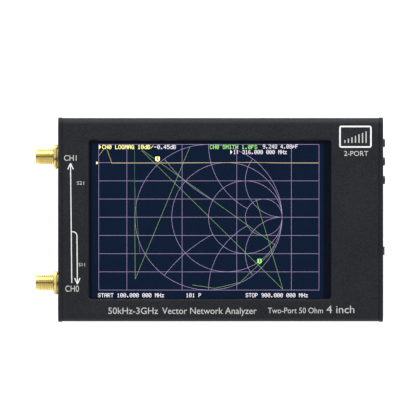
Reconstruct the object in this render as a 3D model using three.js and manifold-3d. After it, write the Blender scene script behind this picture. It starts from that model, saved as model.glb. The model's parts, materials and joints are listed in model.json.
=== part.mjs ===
// Handheld two-port vector network analyzer, lying on its back.
// Millimetres, +Z up. The origin is the centre of the case's back face: +X points to the end with the
// buttons, -X to the end with the two coaxial jacks, +Y to the top of the screen, and +Z out of it.
import * as THREE from 'three';
import { mergeVertices } from 'three/addons/utils/BufferGeometryUtils.js';
import Module from 'manifold-3d';

const wasm = await Module();
wasm.setup();

// Case: a drawn sleeve, open at both ends, closed by two flat end plates.
const CASE_LENGTH = 117;
const CASE_WIDTH = 73.3;
const CASE_DEPTH = 19;
const PLATE_THICKNESS = 1.5;
const PLATE_WIDTH = 73.7;
const EDGE_RADIUS = 2.5;
const WALL = 1.5;
const BOSS_FACE_Y = 30.7;
const BOSS_LOW_TOP = 5.6;
const BOSS_HIGH_BOTTOM = 13.1;
const SIDE_INNER_Y = 35.15;
const RAIL_FACE_Y = 33.75;
const RAIL_DEPTH = 1.1;
const FIT_GAP = 0.1;

// Screen window, in the front wall.
const WINDOW = { x0: -47.3, x1: 39.7, halfY: 28.5, radius: 1.0, chamfer: 1.0 };

// Circuit board, held between the rails of the sleeve.
const BOARD = { x0: -55.2, x1: 56.0, halfY: 35.0, z0: 7.5, z1: 9.1 };
const ON_BOARD = BOARD.z1 + FIT_GAP;
const UNDER_BOARD = BOARD.z0 - FIT_GAP;

// Display stack, from the front wall down.
const GASKET = { x0: -48.8, x1: 41.6, halfY: 30.1, border: 1.0, z0: 17.05, z1: 17.45 };
const TOUCH = { x0: -49.2, x1: 48.6, halfY: 30.2, z0: 15.95, z1: 17.0 };
const CELL = { x0: -48.6, x1: 48.1, halfY: 29.5, z0: 14.85, z1: 15.8 };
const TRAY = { x0: -49.5, x1: 49.0, halfY: 30.4, z0: 12.95, z1: 15.85, rim: 0.7, floorZ: 14.75 };
const DISPLAY_RIBBON = { y0: 3, y1: 23 };
const TOUCH_RIBBON = { y0: -25, y1: -20 };
const CONNECTOR = { x0: 44.3, x1: 48.3, height: 1.5 };

// Screening can over the radio section of the board.
const SHIELD = { x0: -50.3, x1: -12.3, halfY: 27, z1: 11.6, wall: 0.3 };

// Coaxial jacks on the left plate: 1/4-36 thread, 8 mm nut.
const JACK_Y = 22.8;
const JACK_Z = 9.5;
const JACK_TIP_X = -66.9;
const THREAD_RADIUS = 3.15;
const LEAD_RADIUS = 2.7;
const LEAD_LENGTH = 1.2;
const MOUTH_RADIUS = 2.3;
const MOUTH_DEPTH = 1.9;
const DIELECTRIC_RADIUS = 2.05;
const NUT_ACROSS_FLATS = 8;
const NUT_THICKNESS = 1.5;
const WASHER_THICKNESS = 0.3;
const JACKS = [
  { name: 'ch1', y: JACK_Y, nutTurn: (-12 * Math.PI) / 180 },
  { name: 'ch0', y: -JACK_Y, nutTurn: (37 * Math.PI) / 180 },
];

// Buttons, power switch, charge light and charging socket on the right plate.
const BUTTON_YS = [27.7, 21.0, 14.3];
const BUTTON_Z = 11.35;
const BUTTON_RADIUS = 1.5;
const BUTTON_TIP_X = 59.45;
const BUTTON_TRAVEL = 0.3;
const TACT = { x0: 52.9, x1: 56.2, half: 2.1, lipX: 55.6, pocketX: 53.9 };
const TACT_RADIUS = { pocket: 1.82, lip: 1.6, shoulder: 1.72 };
const SWITCH_Y = -11.25;
const SWITCH_Z = 11.0;
const SWITCH_TRAVEL = 2.0;
const KNOB = { lengthY: 3.0, heightZ: 1.6, tipX: 59.3 };
const SLIDER = { x0: 54.4, x1: 55.4, lengthY: 4.0, heightZ: 2.6 };
const SWITCH_CASE = { x0: 52.6, x1: 56.2, lengthY: 8.6, z0: 9.2, z1: 12.9 };
const LIGHT = { y: 6.2, z: 10.8, radius: 1.5, tipX: 58.7 };
const SOCKET = { y: -2.5, z: 10.8, width: 8.94, height: 3.16, wall: 0.3, x0: 51.2 };

// End plate screws: M2.5 countersunk, four in each plate.
const SCREW = { y: 33.0, zInset: 3.7, length: 7, headRadius: 2.2, headHeight: 1.2, threadRadius: 0.95 };
const SCREW_BORE = 1.05;
const SCREW_FACETS = 16;

// Battery under the board, stuck to the back wall, and its plug and socket.
const BATTERY = { x0: -28, x1: 32, halfY: 20, z0: 2.15, z1: 6.95, edge: 1.8 };
const BATTERY_SOCKET = { x0: 41, x1: 47, halfY: 4, z0: 3.4 };
const BATTERY_PLUG = { x0: 38.5, x1: 44.8, halfY: 3.1, z0: 4.2, z1: 6.6 };

// Facets round a small turned piece, and round the jacks.
const ROUND = 20;
const FINE = 28;

const HALF_LENGTH = CASE_LENGTH / 2;
const SLEEVE_END = HALF_LENGTH - PLATE_THICKNESS;

// The jack's flange, inside the plate, and the legs that straddle the board's edge.
const FLANGE = { x0: -SLEEVE_END + FIT_GAP, x1: -55.3, half: 3.2 };
const LEG = { endX: -51.0, size: 1.0, offset: 2.6 };

const BLACK_ANODISED = [0x2a2b2e, 0.5, 0.6];
const GOLD = [0xd9a441, 0.25, 1.0];
const STEEL = [0xb8babd, 0.3, 1.0];
const TIN = [0xc9cacc, 0.4, 0.9];
const BLACK_RESIN = [0x18191b, 0.6, 0.0];
const WHITE_RESIN = [0xeeeeea, 0.5, 0.0];
const AMBER_FILM = [0xb0702a, 0.4, 0.1];

const analyzer = new THREE.Group();
analyzer.name = 'vector_network_analyzer';

// ---- Geometry helpers ----

// Turns a three.js geometry into a closed solid with shared vertices and no collapsed triangles.
function solid(geometry) {
  const bare = geometry.clone();
  bare.deleteAttribute('normal');
  bare.deleteAttribute('uv');
  const merged = mergeVertices(bare, 1e-4);
  const index = merged.index.array;
  const kept = [];
  for (let i = 0; i < index.length; i += 3) {
    const [a, b, c] = [index[i], index[i + 1], index[i + 2]];
    if (a !== b && b !== c && c !== a) {
      kept.push(a, b, c);
    }
  }
  const vertProperties = Float32Array.from(merged.attributes.position.array);
  return new wasm.Manifold(new wasm.Mesh({ numProp: 3, vertProperties, triVerts: Uint32Array.from(kept) }));
}

function toGeometry(body) {
  const { vertProperties, triVerts } = body.getMesh();
  const geometry = new THREE.BufferGeometry();
  geometry.setAttribute('position', new THREE.BufferAttribute(vertProperties, 3));
  geometry.setIndex(new THREE.BufferAttribute(triVerts, 1));
  geometry.computeVertexNormals();
  return geometry;
}

function cut(base, tools) {
  return tools.reduce((body, tool) => body.subtract(tool), base);
}

function join(bodies) {
  return bodies.reduce((body, other) => body.add(other));
}

function box(x0, x1, y0, y1, z0, z1) {
  const geometry = new THREE.BoxGeometry(x1 - x0, y1 - y0, z1 - z0);
  return solid(geometry.translate((x0 + x1) / 2, (y0 + y1) / 2, (z0 + z1) / 2));
}

function prism(shape, depth, curveSegments) {
  return new THREE.ExtrudeGeometry(shape, { depth, bevelEnabled: false, curveSegments });
}

// Extrudes a shape drawn in (x, y) from z0 to z1.
function alongZ(shape, z0, z1) {
  return solid(prism(shape, z1 - z0, 6).translate(0, 0, z0));
}

// Extrudes a shape drawn in (y, z) from x0 to x1.
function alongX(shape, x0, x1, curveSegments = 6) {
  const turn = new THREE.Matrix4().makeBasis(
    new THREE.Vector3(0, 1, 0),
    new THREE.Vector3(0, 0, 1),
    new THREE.Vector3(1, 0, 0),
  );
  return solid(prism(shape, x1 - x0, curveSegments).applyMatrix4(turn).translate(x0, 0, 0));
}

// Extrudes a shape drawn in (x, z) from y0 to y1.
function alongY(shape, y0, y1) {
  const turn = new THREE.Matrix4().makeBasis(
    new THREE.Vector3(1, 0, 0),
    new THREE.Vector3(0, 0, 1),
    new THREE.Vector3(0, -1, 0),
  );
  return solid(prism(shape, y1 - y0, 6).applyMatrix4(turn).translate(0, y1, 0));
}

// Revolves (x, radius) points about a line parallel to X, listed so that x rises along the outside.
function turned(points, y, z, segments = ROUND) {
  const profile = points.map(([x, radius]) => new THREE.Vector2(radius, x));
  const geometry = new THREE.LatheGeometry(profile, segments);
  return solid(geometry.rotateZ(-Math.PI / 2).translate(0, y, z));
}

function rod(x0, x1, radius, y, z, segments = ROUND) {
  return turned([[x0, 0], [x0, radius], [x1, radius], [x1, 0]], y, z, segments);
}

function ring(x0, x1, outer, inner, y, z, segments = ROUND) {
  return turned([[x0, inner], [x0, outer], [x1, outer], [x1, inner], [x0, inner]], y, z, segments);
}

function roundedRect(centreU, centreV, width, height, radius) {
  const [u0, u1] = [centreU - width / 2, centreU + width / 2];
  const [v0, v1] = [centreV - height / 2, centreV + height / 2];
  const shape = new THREE.Shape();
  shape.moveTo(u0 + radius, v0);
  shape.lineTo(u1 - radius, v0);
  shape.absarc(u1 - radius, v0 + radius, radius, -Math.PI / 2, 0);
  shape.lineTo(u1, v1 - radius);
  shape.absarc(u1 - radius, v1 - radius, radius, 0, Math.PI / 2);
  shape.lineTo(u0 + radius, v1);
  shape.absarc(u0 + radius, v1 - radius, radius, Math.PI / 2, Math.PI);
  shape.lineTo(u0, v0 + radius);
  shape.absarc(u0 + radius, v0 + radius, radius, Math.PI, 1.5 * Math.PI);
  return shape;
}

function outline(points) {
  return new THREE.Shape(points.map(([u, v]) => new THREE.Vector2(u, v)));
}

function part(name, body, [color, roughness, metalness]) {
  const material = new THREE.MeshStandardMaterial({ color, roughness, metalness });
  const mesh = new THREE.Mesh(toGeometry(body), material);
  mesh.name = name;
  analyzer.add(mesh);
}

const SCREW_PLACES = [];
for (const y of [SCREW.y, -SCREW.y]) {
  for (const z of [CASE_DEPTH - SCREW.zInset, SCREW.zInset]) {
    SCREW_PLACES.push({ y, z });
  }
}

// ---- Case ----

// Half of the sleeve's hollow: screw bosses in the corners, and two rails that hold the board's edge.
function hollowSide() {
  const railLow = BOARD.z0 - 0.2;
  const railHigh = BOARD.z1 + 0.2;
  return [
    [BOSS_FACE_Y, WALL],
    [BOSS_FACE_Y, BOSS_LOW_TOP],
    [RAIL_FACE_Y, BOSS_LOW_TOP],
    [RAIL_FACE_Y, railLow],
    [SIDE_INNER_Y, railLow],
    [SIDE_INNER_Y, railHigh],
    [RAIL_FACE_Y, railHigh],
    [RAIL_FACE_Y, railHigh + RAIL_DEPTH],
    [SIDE_INNER_Y, railHigh + RAIL_DEPTH],
    [SIDE_INNER_Y, BOSS_HIGH_BOTTOM],
    [BOSS_FACE_Y, BOSS_HIGH_BOTTOM],
    [BOSS_FACE_Y, CASE_DEPTH - WALL],
  ];
}

// The window's cutter: straight sides, and a chamfer where it meets the front face.
function windowCutter() {
  const centreX = (WINDOW.x0 + WINDOW.x1) / 2;
  const width = WINDOW.x1 - WINDOW.x0;
  const shape = roundedRect(centreX, 0, width, 2 * WINDOW.halfY, WINDOW.radius);
  const straight = alongZ(shape, CASE_DEPTH - 2 * WALL, CASE_DEPTH + 1);
  const flared = new THREE.ExtrudeGeometry(shape, {
    depth: 1,
    curveSegments: 6,
    bevelThickness: WINDOW.chamfer,
    bevelSize: WINDOW.chamfer,
    bevelSegments: 1,
  });
  return join([straight, solid(flared.translate(0, 0, CASE_DEPTH))]);
}

function caseSleeve() {
  const section = roundedRect(0, CASE_DEPTH / 2, CASE_WIDTH, CASE_DEPTH, EDGE_RADIUS);
  const left = hollowSide().map(([y, z]) => [-y, z]).reverse();
  const hollow = alongX(outline([...hollowSide(), ...left]), -HALF_LENGTH, HALF_LENGTH);
  const bores = SCREW_PLACES.map(({ y, z }) => rod(-HALF_LENGTH, HALF_LENGTH, SCREW_BORE, y, z, 12));
  return cut(alongX(section, -SLEEVE_END, SLEEVE_END), [hollow, ...bores, windowCutter()]);
}

// A plate blank on one end of the case, with its countersunk screw holes. side is -1 or +1.
function plateBlank(side) {
  const section = roundedRect(0, CASE_DEPTH / 2, PLATE_WIDTH, CASE_DEPTH, EDGE_RADIUS);
  const [inner, outer] = [side * (SLEEVE_END + 0.02), side * HALF_LENGTH];
  const blank = alongX(section, Math.min(inner, outer), Math.max(inner, outer));
  return cut(blank, SCREW_PLACES.map((place) => screwSolid(side, place, FIT_GAP, 1)));
}

// A countersunk screw, grown by a clearance. overrun carries the head past the plate's outer face.
function screwSolid(side, { y, z }, clearance, overrun) {
  const face = HALF_LENGTH - 0.05;
  const head = SCREW.headRadius + clearance;
  const shank = SCREW.threadRadius + clearance;
  const profile = [
    [face - SCREW.length, 0],
    [face - SCREW.length, shank],
    [face - SCREW.headHeight, shank],
    [face, head],
    [face + overrun, head],
    [face + overrun, 0],
  ];
  const kept = overrun > 0 ? profile : profile.filter((_, i) => i !== 4);
  const placed = side > 0 ? kept : kept.map(([x, radius]) => [-x, radius]).reverse();
  return turned(placed, y, z, SCREW_FACETS);
}

// The finished screw has a cross recess.
function screwBody(side, place) {
  const face = side * (HALF_LENGTH - 0.05);
  const [near, far] = [face - side * 0.75, face + side];
  const [x0, x1] = [Math.min(near, far), Math.max(near, far)];
  const [long, slim] = [1.05, 0.24];
  const { y, z } = place;
  return cut(screwSolid(side, place, 0, 0), [
    box(x0, x1, y - long, y + long, z - slim, z + slim),
    box(x0, x1, y - slim, y + slim, z - long, z + long),
  ]);
}

part('case_sleeve', caseSleeve(), BLACK_ANODISED);

const jackHoles = JACKS.map(({ y }) => {
  return rod(-HALF_LENGTH - 1, -SLEEVE_END + 1, THREAD_RADIUS + 0.15, y, JACK_Z, FINE);
});
part('left_end_plate', cut(plateBlank(-1), jackHoles), BLACK_ANODISED);

const knobRun = roundedRect(
  SWITCH_Y - SWITCH_TRAVEL / 2,
  SWITCH_Z,
  KNOB.lengthY + SWITCH_TRAVEL + 0.5,
  KNOB.heightZ + 0.5,
  0.3,
);
const mouthRadius = SOCKET.height / 2;
const socketMouth = roundedRect(SOCKET.y, SOCKET.z, SOCKET.width + 0.4, SOCKET.height + 0.4, mouthRadius);
const rightCutters = [
  ...BUTTON_YS.map((y) => rod(SLEEVE_END - 1, HALF_LENGTH + 1, BUTTON_RADIUS + 0.25, y, BUTTON_Z)),
  rod(SLEEVE_END - 1, HALF_LENGTH + 1, LIGHT.radius + FIT_GAP, LIGHT.y, LIGHT.z),
  alongX(knobRun, SLEEVE_END - 1, HALF_LENGTH + 1),
  alongX(socketMouth, SLEEVE_END - 1, HALF_LENGTH + 1),
];
part('right_end_plate', cut(plateBlank(1), rightCutters), BLACK_ANODISED);

for (const [side, end] of [[-1, 'left'], [1, 'right']]) {
  SCREW_PLACES.forEach((place, i) => {
    part(`${end}_plate_screw_${i + 1}`, screwBody(side, place), [0x1d1e20, 0.35, 0.9]);
  });
}

// ---- Display ----

function pane({ x0, x1, halfY, z0, z1 }) {
  return box(x0, x1, -halfY, halfY, z0, z1);
}

function displayGasket() {
  const { x0, x1, halfY, border, z0, z1 } = GASKET;
  return cut(pane(GASKET), [box(x0 + border, x1 - border, border - halfY, halfY - border, z0 - 1, z1 + 1)]);
}

// A flat strip that leaves a panel's right edge, turns back under it and runs into a board connector.
function ribbon(startX, topZ, y0, y1) {
  const thickness = 0.2;
  const bendX = TRAY.x1 + 0.2;
  const lowZ = ON_BOARD + 0.6;
  const radius = (topZ - lowZ) / 2;
  const endX = CONNECTOR.x1 - 2.2;
  const strip = new THREE.Shape();
  strip.moveTo(startX, topZ);
  strip.lineTo(bendX, topZ);
  strip.absarc(bendX, lowZ + radius, radius, Math.PI / 2, -Math.PI / 2, true);
  strip.lineTo(endX, lowZ);
  strip.lineTo(endX, lowZ + thickness);
  strip.lineTo(bendX, lowZ + thickness);
  strip.absarc(bendX, lowZ + radius, radius - thickness, -Math.PI / 2, Math.PI / 2, false);
  strip.lineTo(startX, topZ - thickness);
  return alongY(strip, y0, y1);
}

// A low board connector with a slot for a ribbon in its right-hand face.
function ribbonConnector(y0, y1) {
  const { x0, x1, height } = CONNECTOR;
  const shell = box(x0, x1, y0 - 1.2, y1 + 1.2, ON_BOARD, ON_BOARD + height);
  return cut(shell, [box(x1 - 2.4, x1 + 1, y0 - 0.2, y1 + 0.2, ON_BOARD + 0.5, ON_BOARD + 0.9)]);
}

const trayHollow = box(
  TRAY.x0 + TRAY.rim,
  TRAY.x1 - TRAY.rim,
  TRAY.rim - TRAY.halfY,
  TRAY.halfY - TRAY.rim,
  TRAY.floorZ,
  TRAY.z1 + 1,
);
const trayNotch = box(
  TRAY.x1 - 1,
  TRAY.x1 + 1,
  DISPLAY_RIBBON.y0 - 0.5,
  DISPLAY_RIBBON.y1 + 0.5,
  TRAY.floorZ,
  TRAY.z1 + 1,
);

part('window_gasket', displayGasket(), [0x1a1a1c, 0.9, 0.0]);
part('touch_panel', pane(TOUCH), [0x1c2430, 0.1, 0.0]);
part('lcd_cell', pane(CELL), [0x121e32, 0.15, 0.0]);
part('lcd_backlight_tray', cut(pane(TRAY), [trayHollow, trayNotch]), TIN);
part('display_ribbon', ribbon(CELL.x1 + FIT_GAP, 15.4, DISPLAY_RIBBON.y0, DISPLAY_RIBBON.y1), AMBER_FILM);
part('display_ribbon_connector', ribbonConnector(DISPLAY_RIBBON.y0, DISPLAY_RIBBON.y1), WHITE_RESIN);
part('touch_ribbon', ribbon(TOUCH.x1 + FIT_GAP, 16.4, TOUCH_RIBBON.y0, TOUCH_RIBBON.y1), AMBER_FILM);
part('touch_ribbon_connector', ribbonConnector(TOUCH_RIBBON.y0, TOUCH_RIBBON.y1), WHITE_RESIN);

// ---- Circuit board and what is soldered to it ----

function circuitBoard() {
  const { x0, x1, halfY, z0, z1 } = BOARD;
  const blank = alongZ(roundedRect((x0 + x1) / 2, 0, x1 - x0, 2 * halfY, 1), z0, z1);
  const holes = [];
  for (const x of [x0 + 4, x1 - 4]) {
    for (const y of [halfY - 3.5, 3.5 - halfY]) {
      const hole = new THREE.CylinderGeometry(1.1, 1.1, 4, 16).rotateX(Math.PI / 2);
      holes.push(solid(hole.translate(x, y, (z0 + z1) / 2)));
    }
  }
  return cut(blank, holes);
}

// The shield's fence: a wall round the radio section, and a wall across between its two channels.
function shieldFence() {
  const { x0, x1, halfY, z1, wall } = SHIELD;
  const block = box(x0, x1, -halfY, halfY, ON_BOARD, z1);
  return cut(block, [
    box(x0 + wall, x1 - wall, wall / 2, halfY - wall, 0, CASE_DEPTH),
    box(x0 + wall, x1 - wall, wall - halfY, -wall / 2, 0, CASE_DEPTH),
  ]);
}

// The lid: a flat sheet with a short skirt outside the fence.
function shieldLid() {
  const { x0, x1, halfY, z1 } = SHIELD;
  const [inner, outer] = [FIT_GAP, FIT_GAP + 0.2];
  const top = z1 + FIT_GAP;
  const block = box(x0 - outer, x1 + outer, -halfY - outer, halfY + outer, z1 - 0.9, top + 0.2);
  return cut(block, [box(x0 - inner, x1 + inner, -halfY - inner, halfY + inner, 0, top)]);
}

function chip(x, y, sizeX, sizeY, height) {
  const [halfX, halfY] = [sizeX / 2, sizeY / 2];
  return box(x - halfX, x + halfX, y - halfY, y + halfY, ON_BOARD, ON_BOARD + height);
}

part('main_board', circuitBoard(), [0x14512e, 0.5, 0.1]);
part('shield_fence', shieldFence(), TIN);
part('shield_lid', shieldLid(), TIN);
part('signal_generator_chip_1', chip(-38, 14, 5, 5, 0.9), BLACK_RESIN);
part('signal_generator_chip_2', chip(-38, -14, 5, 5, 0.9), BLACK_RESIN);
part('reference_oscillator', chip(-20, 8, 3.2, 2.5, 1.0), STEEL);
part('microcontroller', chip(8, 6, 7, 7, 1.4), BLACK_RESIN);
part('charger_chip', chip(40, -8, 4.9, 3.9, 1.5), BLACK_RESIN);
part('power_inductor', alongZ(roundedRect(34, -15, 4, 4, 0.8), ON_BOARD, ON_BOARD + 2), [0x4a4a4c, 0.6, 0.3]);

// ---- Buttons ----

// Shell of a side-pressed tact switch: its bore narrows to a lip that keeps the stem in.
function buttonShell(y) {
  const { x0, x1, half, lipX, pocketX } = TACT;
  const { pocket, lip } = TACT_RADIUS;
  const block = box(x0, x1, y - half, y + half, BUTTON_Z - half, BUTTON_Z + half);
  return cut(block, [rod(pocketX, lipX, pocket, y, BUTTON_Z), rod(pocketX, x1 + 1, lip, y, BUTTON_Z)]);
}

function buttonStem(y) {
  const shoulderFront = TACT.lipX - 0.05;
  const profile = [
    [shoulderFront - 0.7, 0],
    [shoulderFront - 0.7, TACT_RADIUS.shoulder],
    [shoulderFront, TACT_RADIUS.shoulder],
    [shoulderFront, BUTTON_RADIUS],
    [BUTTON_TIP_X - 0.25, BUTTON_RADIUS],
    [BUTTON_TIP_X, BUTTON_RADIUS - 0.25],
    [BUTTON_TIP_X, 0],
  ];
  return turned(profile, y, BUTTON_Z);
}

// A shallow dome whose crown stops the button's travel short of it.
function snapDome(y) {
  const crownX = TACT.lipX - 0.75 - BUTTON_TRAVEL - 0.08;
  const rimX = TACT.pocketX + 0.02;
  const profile = [
    [rimX, 1.45],
    [rimX, 1.6],
    [rimX + 0.1, 1.6],
    [crownX - 0.06, 0.8],
    [crownX, 0],
    [crownX - 0.1, 0],
    [crownX - 0.16, 0.8],
    [rimX, 1.45],
  ];
  return turned(profile, y, BUTTON_Z, 20);
}

BUTTON_YS.forEach((y, i) => {
  part(`button_${i + 1}_shell`, buttonShell(y), BLACK_RESIN);
  part(`button_${i + 1}_dome`, snapDome(y), STEEL);
  part(`button_${i + 1}_stem`, buttonStem(y), [0x232427, 0.45, 0.0]);
});

// ---- Power switch ----

function switchShell() {
  const middleY = SWITCH_Y - SWITCH_TRAVEL / 2;
  const halfY = SWITCH_CASE.lengthY / 2;
  const { x0, x1, z0, z1 } = SWITCH_CASE;
  const roomX0 = SLIDER.x0 - 0.5;
  const roomX1 = SLIDER.x1 + 0.15;
  const roomY = (SLIDER.lengthY + SWITCH_TRAVEL) / 2 + 0.15;
  const slotY = (KNOB.lengthY + SWITCH_TRAVEL) / 2 + 0.3;
  const slotZ = KNOB.heightZ / 2 + 0.15;
  const roomZ = SLIDER.heightZ / 2 + 0.1;
  return cut(box(x0, x1, middleY - halfY, middleY + halfY, z0, z1), [
    box(roomX0, roomX1, middleY - roomY, middleY + roomY, SWITCH_Z - roomZ, SWITCH_Z + roomZ),
    box(SLIDER.x0, x1 + 1, middleY - slotY, middleY + slotY, SWITCH_Z - slotZ, SWITCH_Z + slotZ),
  ]);
}

function switchKnob() {
  const [halfY, halfZ] = [KNOB.lengthY / 2, KNOB.heightZ / 2];
  const [slideY, slideZ] = [SLIDER.lengthY / 2, SLIDER.heightZ / 2];
  return join([
    box(SLIDER.x0, SLIDER.x1, SWITCH_Y - slideY, SWITCH_Y + slideY, SWITCH_Z - slideZ, SWITCH_Z + slideZ),
    box(SLIDER.x0, KNOB.tipX, SWITCH_Y - halfY, SWITCH_Y + halfY, SWITCH_Z - halfZ, SWITCH_Z + halfZ),
  ]);
}

part('power_switch_shell', switchShell(), STEEL);
part('power_switch_knob', switchKnob(), [0x1b1c1e, 0.5, 0.0]);

// ---- Charging socket and charge light ----

function socketSection(shrink) {
  const height = SOCKET.height - 2 * shrink;
  return roundedRect(SOCKET.y, SOCKET.z, SOCKET.width - 2 * shrink, height, height / 2 - 0.02);
}

function socketShell() {
  const shell = alongX(socketSection(0), SOCKET.x0, HALF_LENGTH, 8);
  return cut(shell, [alongX(socketSection(SOCKET.wall), SOCKET.x0 - 1, HALF_LENGTH + 1, 8)]);
}

function socketTongue() {
  const rear = alongX(socketSection(SOCKET.wall + FIT_GAP), SOCKET.x0 + 0.2, SOCKET.x0 + 1.5, 8);
  const { y, z, x0 } = SOCKET;
  return join([rear, box(x0 + 1, HALF_LENGTH - 0.7, y - 3.35, y + 3.35, z - 0.35, z + 0.35)]);
}

function lightPipe() {
  const profile = [
    [SLEEVE_END - 0.6, 0],
    [SLEEVE_END - 0.6, LIGHT.radius + 0.5],
    [SLEEVE_END - FIT_GAP, LIGHT.radius + 0.5],
    [SLEEVE_END - FIT_GAP, LIGHT.radius],
    [LIGHT.tipX - 0.12, LIGHT.radius],
    [LIGHT.tipX, LIGHT.radius - 0.35],
    [LIGHT.tipX, 0],
  ];
  return turned(profile, LIGHT.y, LIGHT.z);
}

part('usb_c_shell', socketShell(), STEEL);
part('usb_c_tongue', socketTongue(), BLACK_RESIN);
part('charge_led', box(55.0, 56.1, LIGHT.y - 0.8, LIGHT.y + 0.8, ON_BOARD, ON_BOARD + 1.2), WHITE_RESIN);
part('charge_light_pipe', lightPipe(), [0xe8ebe4, 0.25, 0.0]);

// ---- Battery, under the board ----

function batterySocket() {
  const { x0, x1, halfY, z0 } = BATTERY_SOCKET;
  const block = box(x0, x1, -halfY, halfY, z0, UNDER_BOARD);
  return cut(block, [box(x0 - 1, x1 - 2, 0.7 - halfY, halfY - 0.7, z0 + 0.6, UNDER_BOARD - 0.6)]);
}

// A lead from the battery's end to the back of its plug. side is +1 for red and -1 for black.
function batteryLead(side) {
  const [startX, endX] = [BATTERY.x1 + 0.1, BATTERY_PLUG.x0 - 0.1];
  const route = new THREE.CatmullRomCurve3([
    new THREE.Vector3(startX, side * 5, 4.6),
    new THREE.Vector3(startX + 1.6, side * 4.7, 4.6),
    new THREE.Vector3((startX + endX) / 2, side * 3.1, 5.1),
    new THREE.Vector3(endX - 1.6, side * 1.5, 5.4),
    new THREE.Vector3(endX, side * 1.4, 5.4),
  ]);
  const section = new THREE.Shape();
  section.absarc(0, 0, 0.6, 0, 2 * Math.PI);
  return solid(new THREE.ExtrudeGeometry(section, { steps: 10, extrudePath: route, curveSegments: 4 }));
}

const batterySection = roundedRect(
  0,
  (BATTERY.z0 + BATTERY.z1) / 2,
  2 * BATTERY.halfY,
  BATTERY.z1 - BATTERY.z0,
  BATTERY.edge,
);
part('battery', alongX(batterySection, BATTERY.x0, BATTERY.x1), [0x9fa4ab, 0.35, 0.6]);
const pad = box(BATTERY.x0 + 4, BATTERY.x1 - 4, -14, 14, WALL + 0.05, BATTERY.z0 - 0.05);
part('battery_pad', pad, [0x303236, 0.9, 0.0]);
part('battery_lead_red', batteryLead(1), [0xb01818, 0.5, 0.0]);
part('battery_lead_black', batteryLead(-1), [0x151515, 0.5, 0.0]);
part('battery_plug', pane(BATTERY_PLUG), WHITE_RESIN);
part('battery_socket', batterySocket(), WHITE_RESIN);

// ---- Coaxial jacks ----

// Flange and threaded barrel in one piece, bored through, with four legs that straddle the board's edge.
function jackBody(y) {
  const mouthEnd = JACK_TIP_X + MOUTH_DEPTH;
  const leadEnd = JACK_TIP_X + LEAD_LENGTH;
  const barrel = turned([
    [JACK_TIP_X, 0],
    [JACK_TIP_X, LEAD_RADIUS - 0.15],
    [JACK_TIP_X + 0.15, LEAD_RADIUS],
    [leadEnd, LEAD_RADIUS],
    [leadEnd + 0.3, THREAD_RADIUS],
    [FLANGE.x0 + 0.5, THREAD_RADIUS],
    [FLANGE.x0 + 0.5, 0],
  ], y, JACK_Z, FINE);
  const { x0, x1, half } = FLANGE;
  const flange = box(x0, x1, y - half, y + half, JACK_Z - half, JACK_Z + half);
  const legs = [];
  for (const side of [-1, 1]) {
    const legY = y + side * LEG.offset;
    const [y0, y1] = [legY - LEG.size / 2, legY + LEG.size / 2];
    legs.push(box(x1 - 0.5, LEG.endX, y0, y1, ON_BOARD, ON_BOARD + LEG.size));
    legs.push(box(x1 - 0.5, LEG.endX, y0, y1, UNDER_BOARD - LEG.size, UNDER_BOARD));
  }
  return cut(join([barrel, flange, ...legs]), [
    rod(JACK_TIP_X - 1, mouthEnd, MOUTH_RADIUS, y, JACK_Z, FINE),
    rod(mouthEnd - 0.5, x1 + 0.5, DIELECTRIC_RADIUS, y, JACK_Z, FINE),
  ]);
}

function jackDielectric(y) {
  const radius = DIELECTRIC_RADIUS - 0.07;
  return ring(JACK_TIP_X + MOUTH_DEPTH, FLANGE.x1 - 0.05, radius, 0.72, y, JACK_Z);
}

// Socket contact: a sleeve bored to take the plug's pin, thinned to a solder pin on the board.
function jackContact(y) {
  const x0 = JACK_TIP_X + MOUTH_DEPTH - 0.1;
  return turned([
    [x0 + 3, 0],
    [x0 + 3, 0.46],
    [x0, 0.46],
    [x0, 0.63],
    [FLANGE.x1, 0.63],
    [FLANGE.x1, 0.3],
    [FLANGE.x1 + 2.5, 0.3],
    [FLANGE.x1 + 2.5, 0],
  ], y, JACK_Z, 16);
}

// A hexagon nut, its corners turned down on both faces.
function jackNut(y, turn) {
  const x1 = -HALF_LENGTH - WASHER_THICKNESS - 0.04;
  const x0 = x1 - NUT_THICKNESS;
  const corner = NUT_ACROSS_FLATS / Math.sqrt(3);
  const flat = NUT_ACROSS_FLATS / 2;
  const hexagon = Array.from({ length: 6 }, (_, i) => {
    const angle = turn + (i * Math.PI) / 3;
    return [y + corner * Math.cos(angle), JACK_Z + corner * Math.sin(angle)];
  });
  const rounding = turned([
    [x0, 0],
    [x0, flat - 0.3],
    [x0 + 0.45, corner + 0.05],
    [x1 - 0.25, corner + 0.05],
    [x1, flat + 0.05],
    [x1, 0],
  ], y, JACK_Z, FINE);
  const hole = rod(x0 - 1, x1 + 1, THREAD_RADIUS + 0.08, y, JACK_Z, FINE);
  return alongX(outline(hexagon), x0, x1).intersect(rounding).subtract(hole);
}

for (const { name, y, nutTurn } of JACKS) {
  const washerEnd = -HALF_LENGTH - 0.02;
  part(`${name}_jack_body`, jackBody(y), GOLD);
  part(`${name}_jack_dielectric`, jackDielectric(y), [0xf2efe6, 0.4, 0.0]);
  part(`${name}_jack_contact`, jackContact(y), GOLD);
  const washer = ring(washerEnd - WASHER_THICKNESS, washerEnd, 4.3, 3.3, y, JACK_Z, FINE);
  part(`${name}_jack_washer`, washer, GOLD);
  part(`${name}_jack_nut`, jackNut(y, nutTurn), GOLD);
}

export default analyzer;
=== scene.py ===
"""Looks of a handheld two-port vector network analyzer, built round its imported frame.

Lengths are in millimetres, and become Blender's metres only where an operator is called. The screen
faces +Z, the jacks stand out of the end at -X and the buttons out of the end at +X.
"""

from __future__ import annotations

import json
import logging
import math
from collections.abc import Callable, Iterator, Mapping, Sequence
from contextlib import contextmanager
from dataclasses import dataclass, field, replace
from enum import Enum
from itertools import pairwise
from typing import Any

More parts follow.
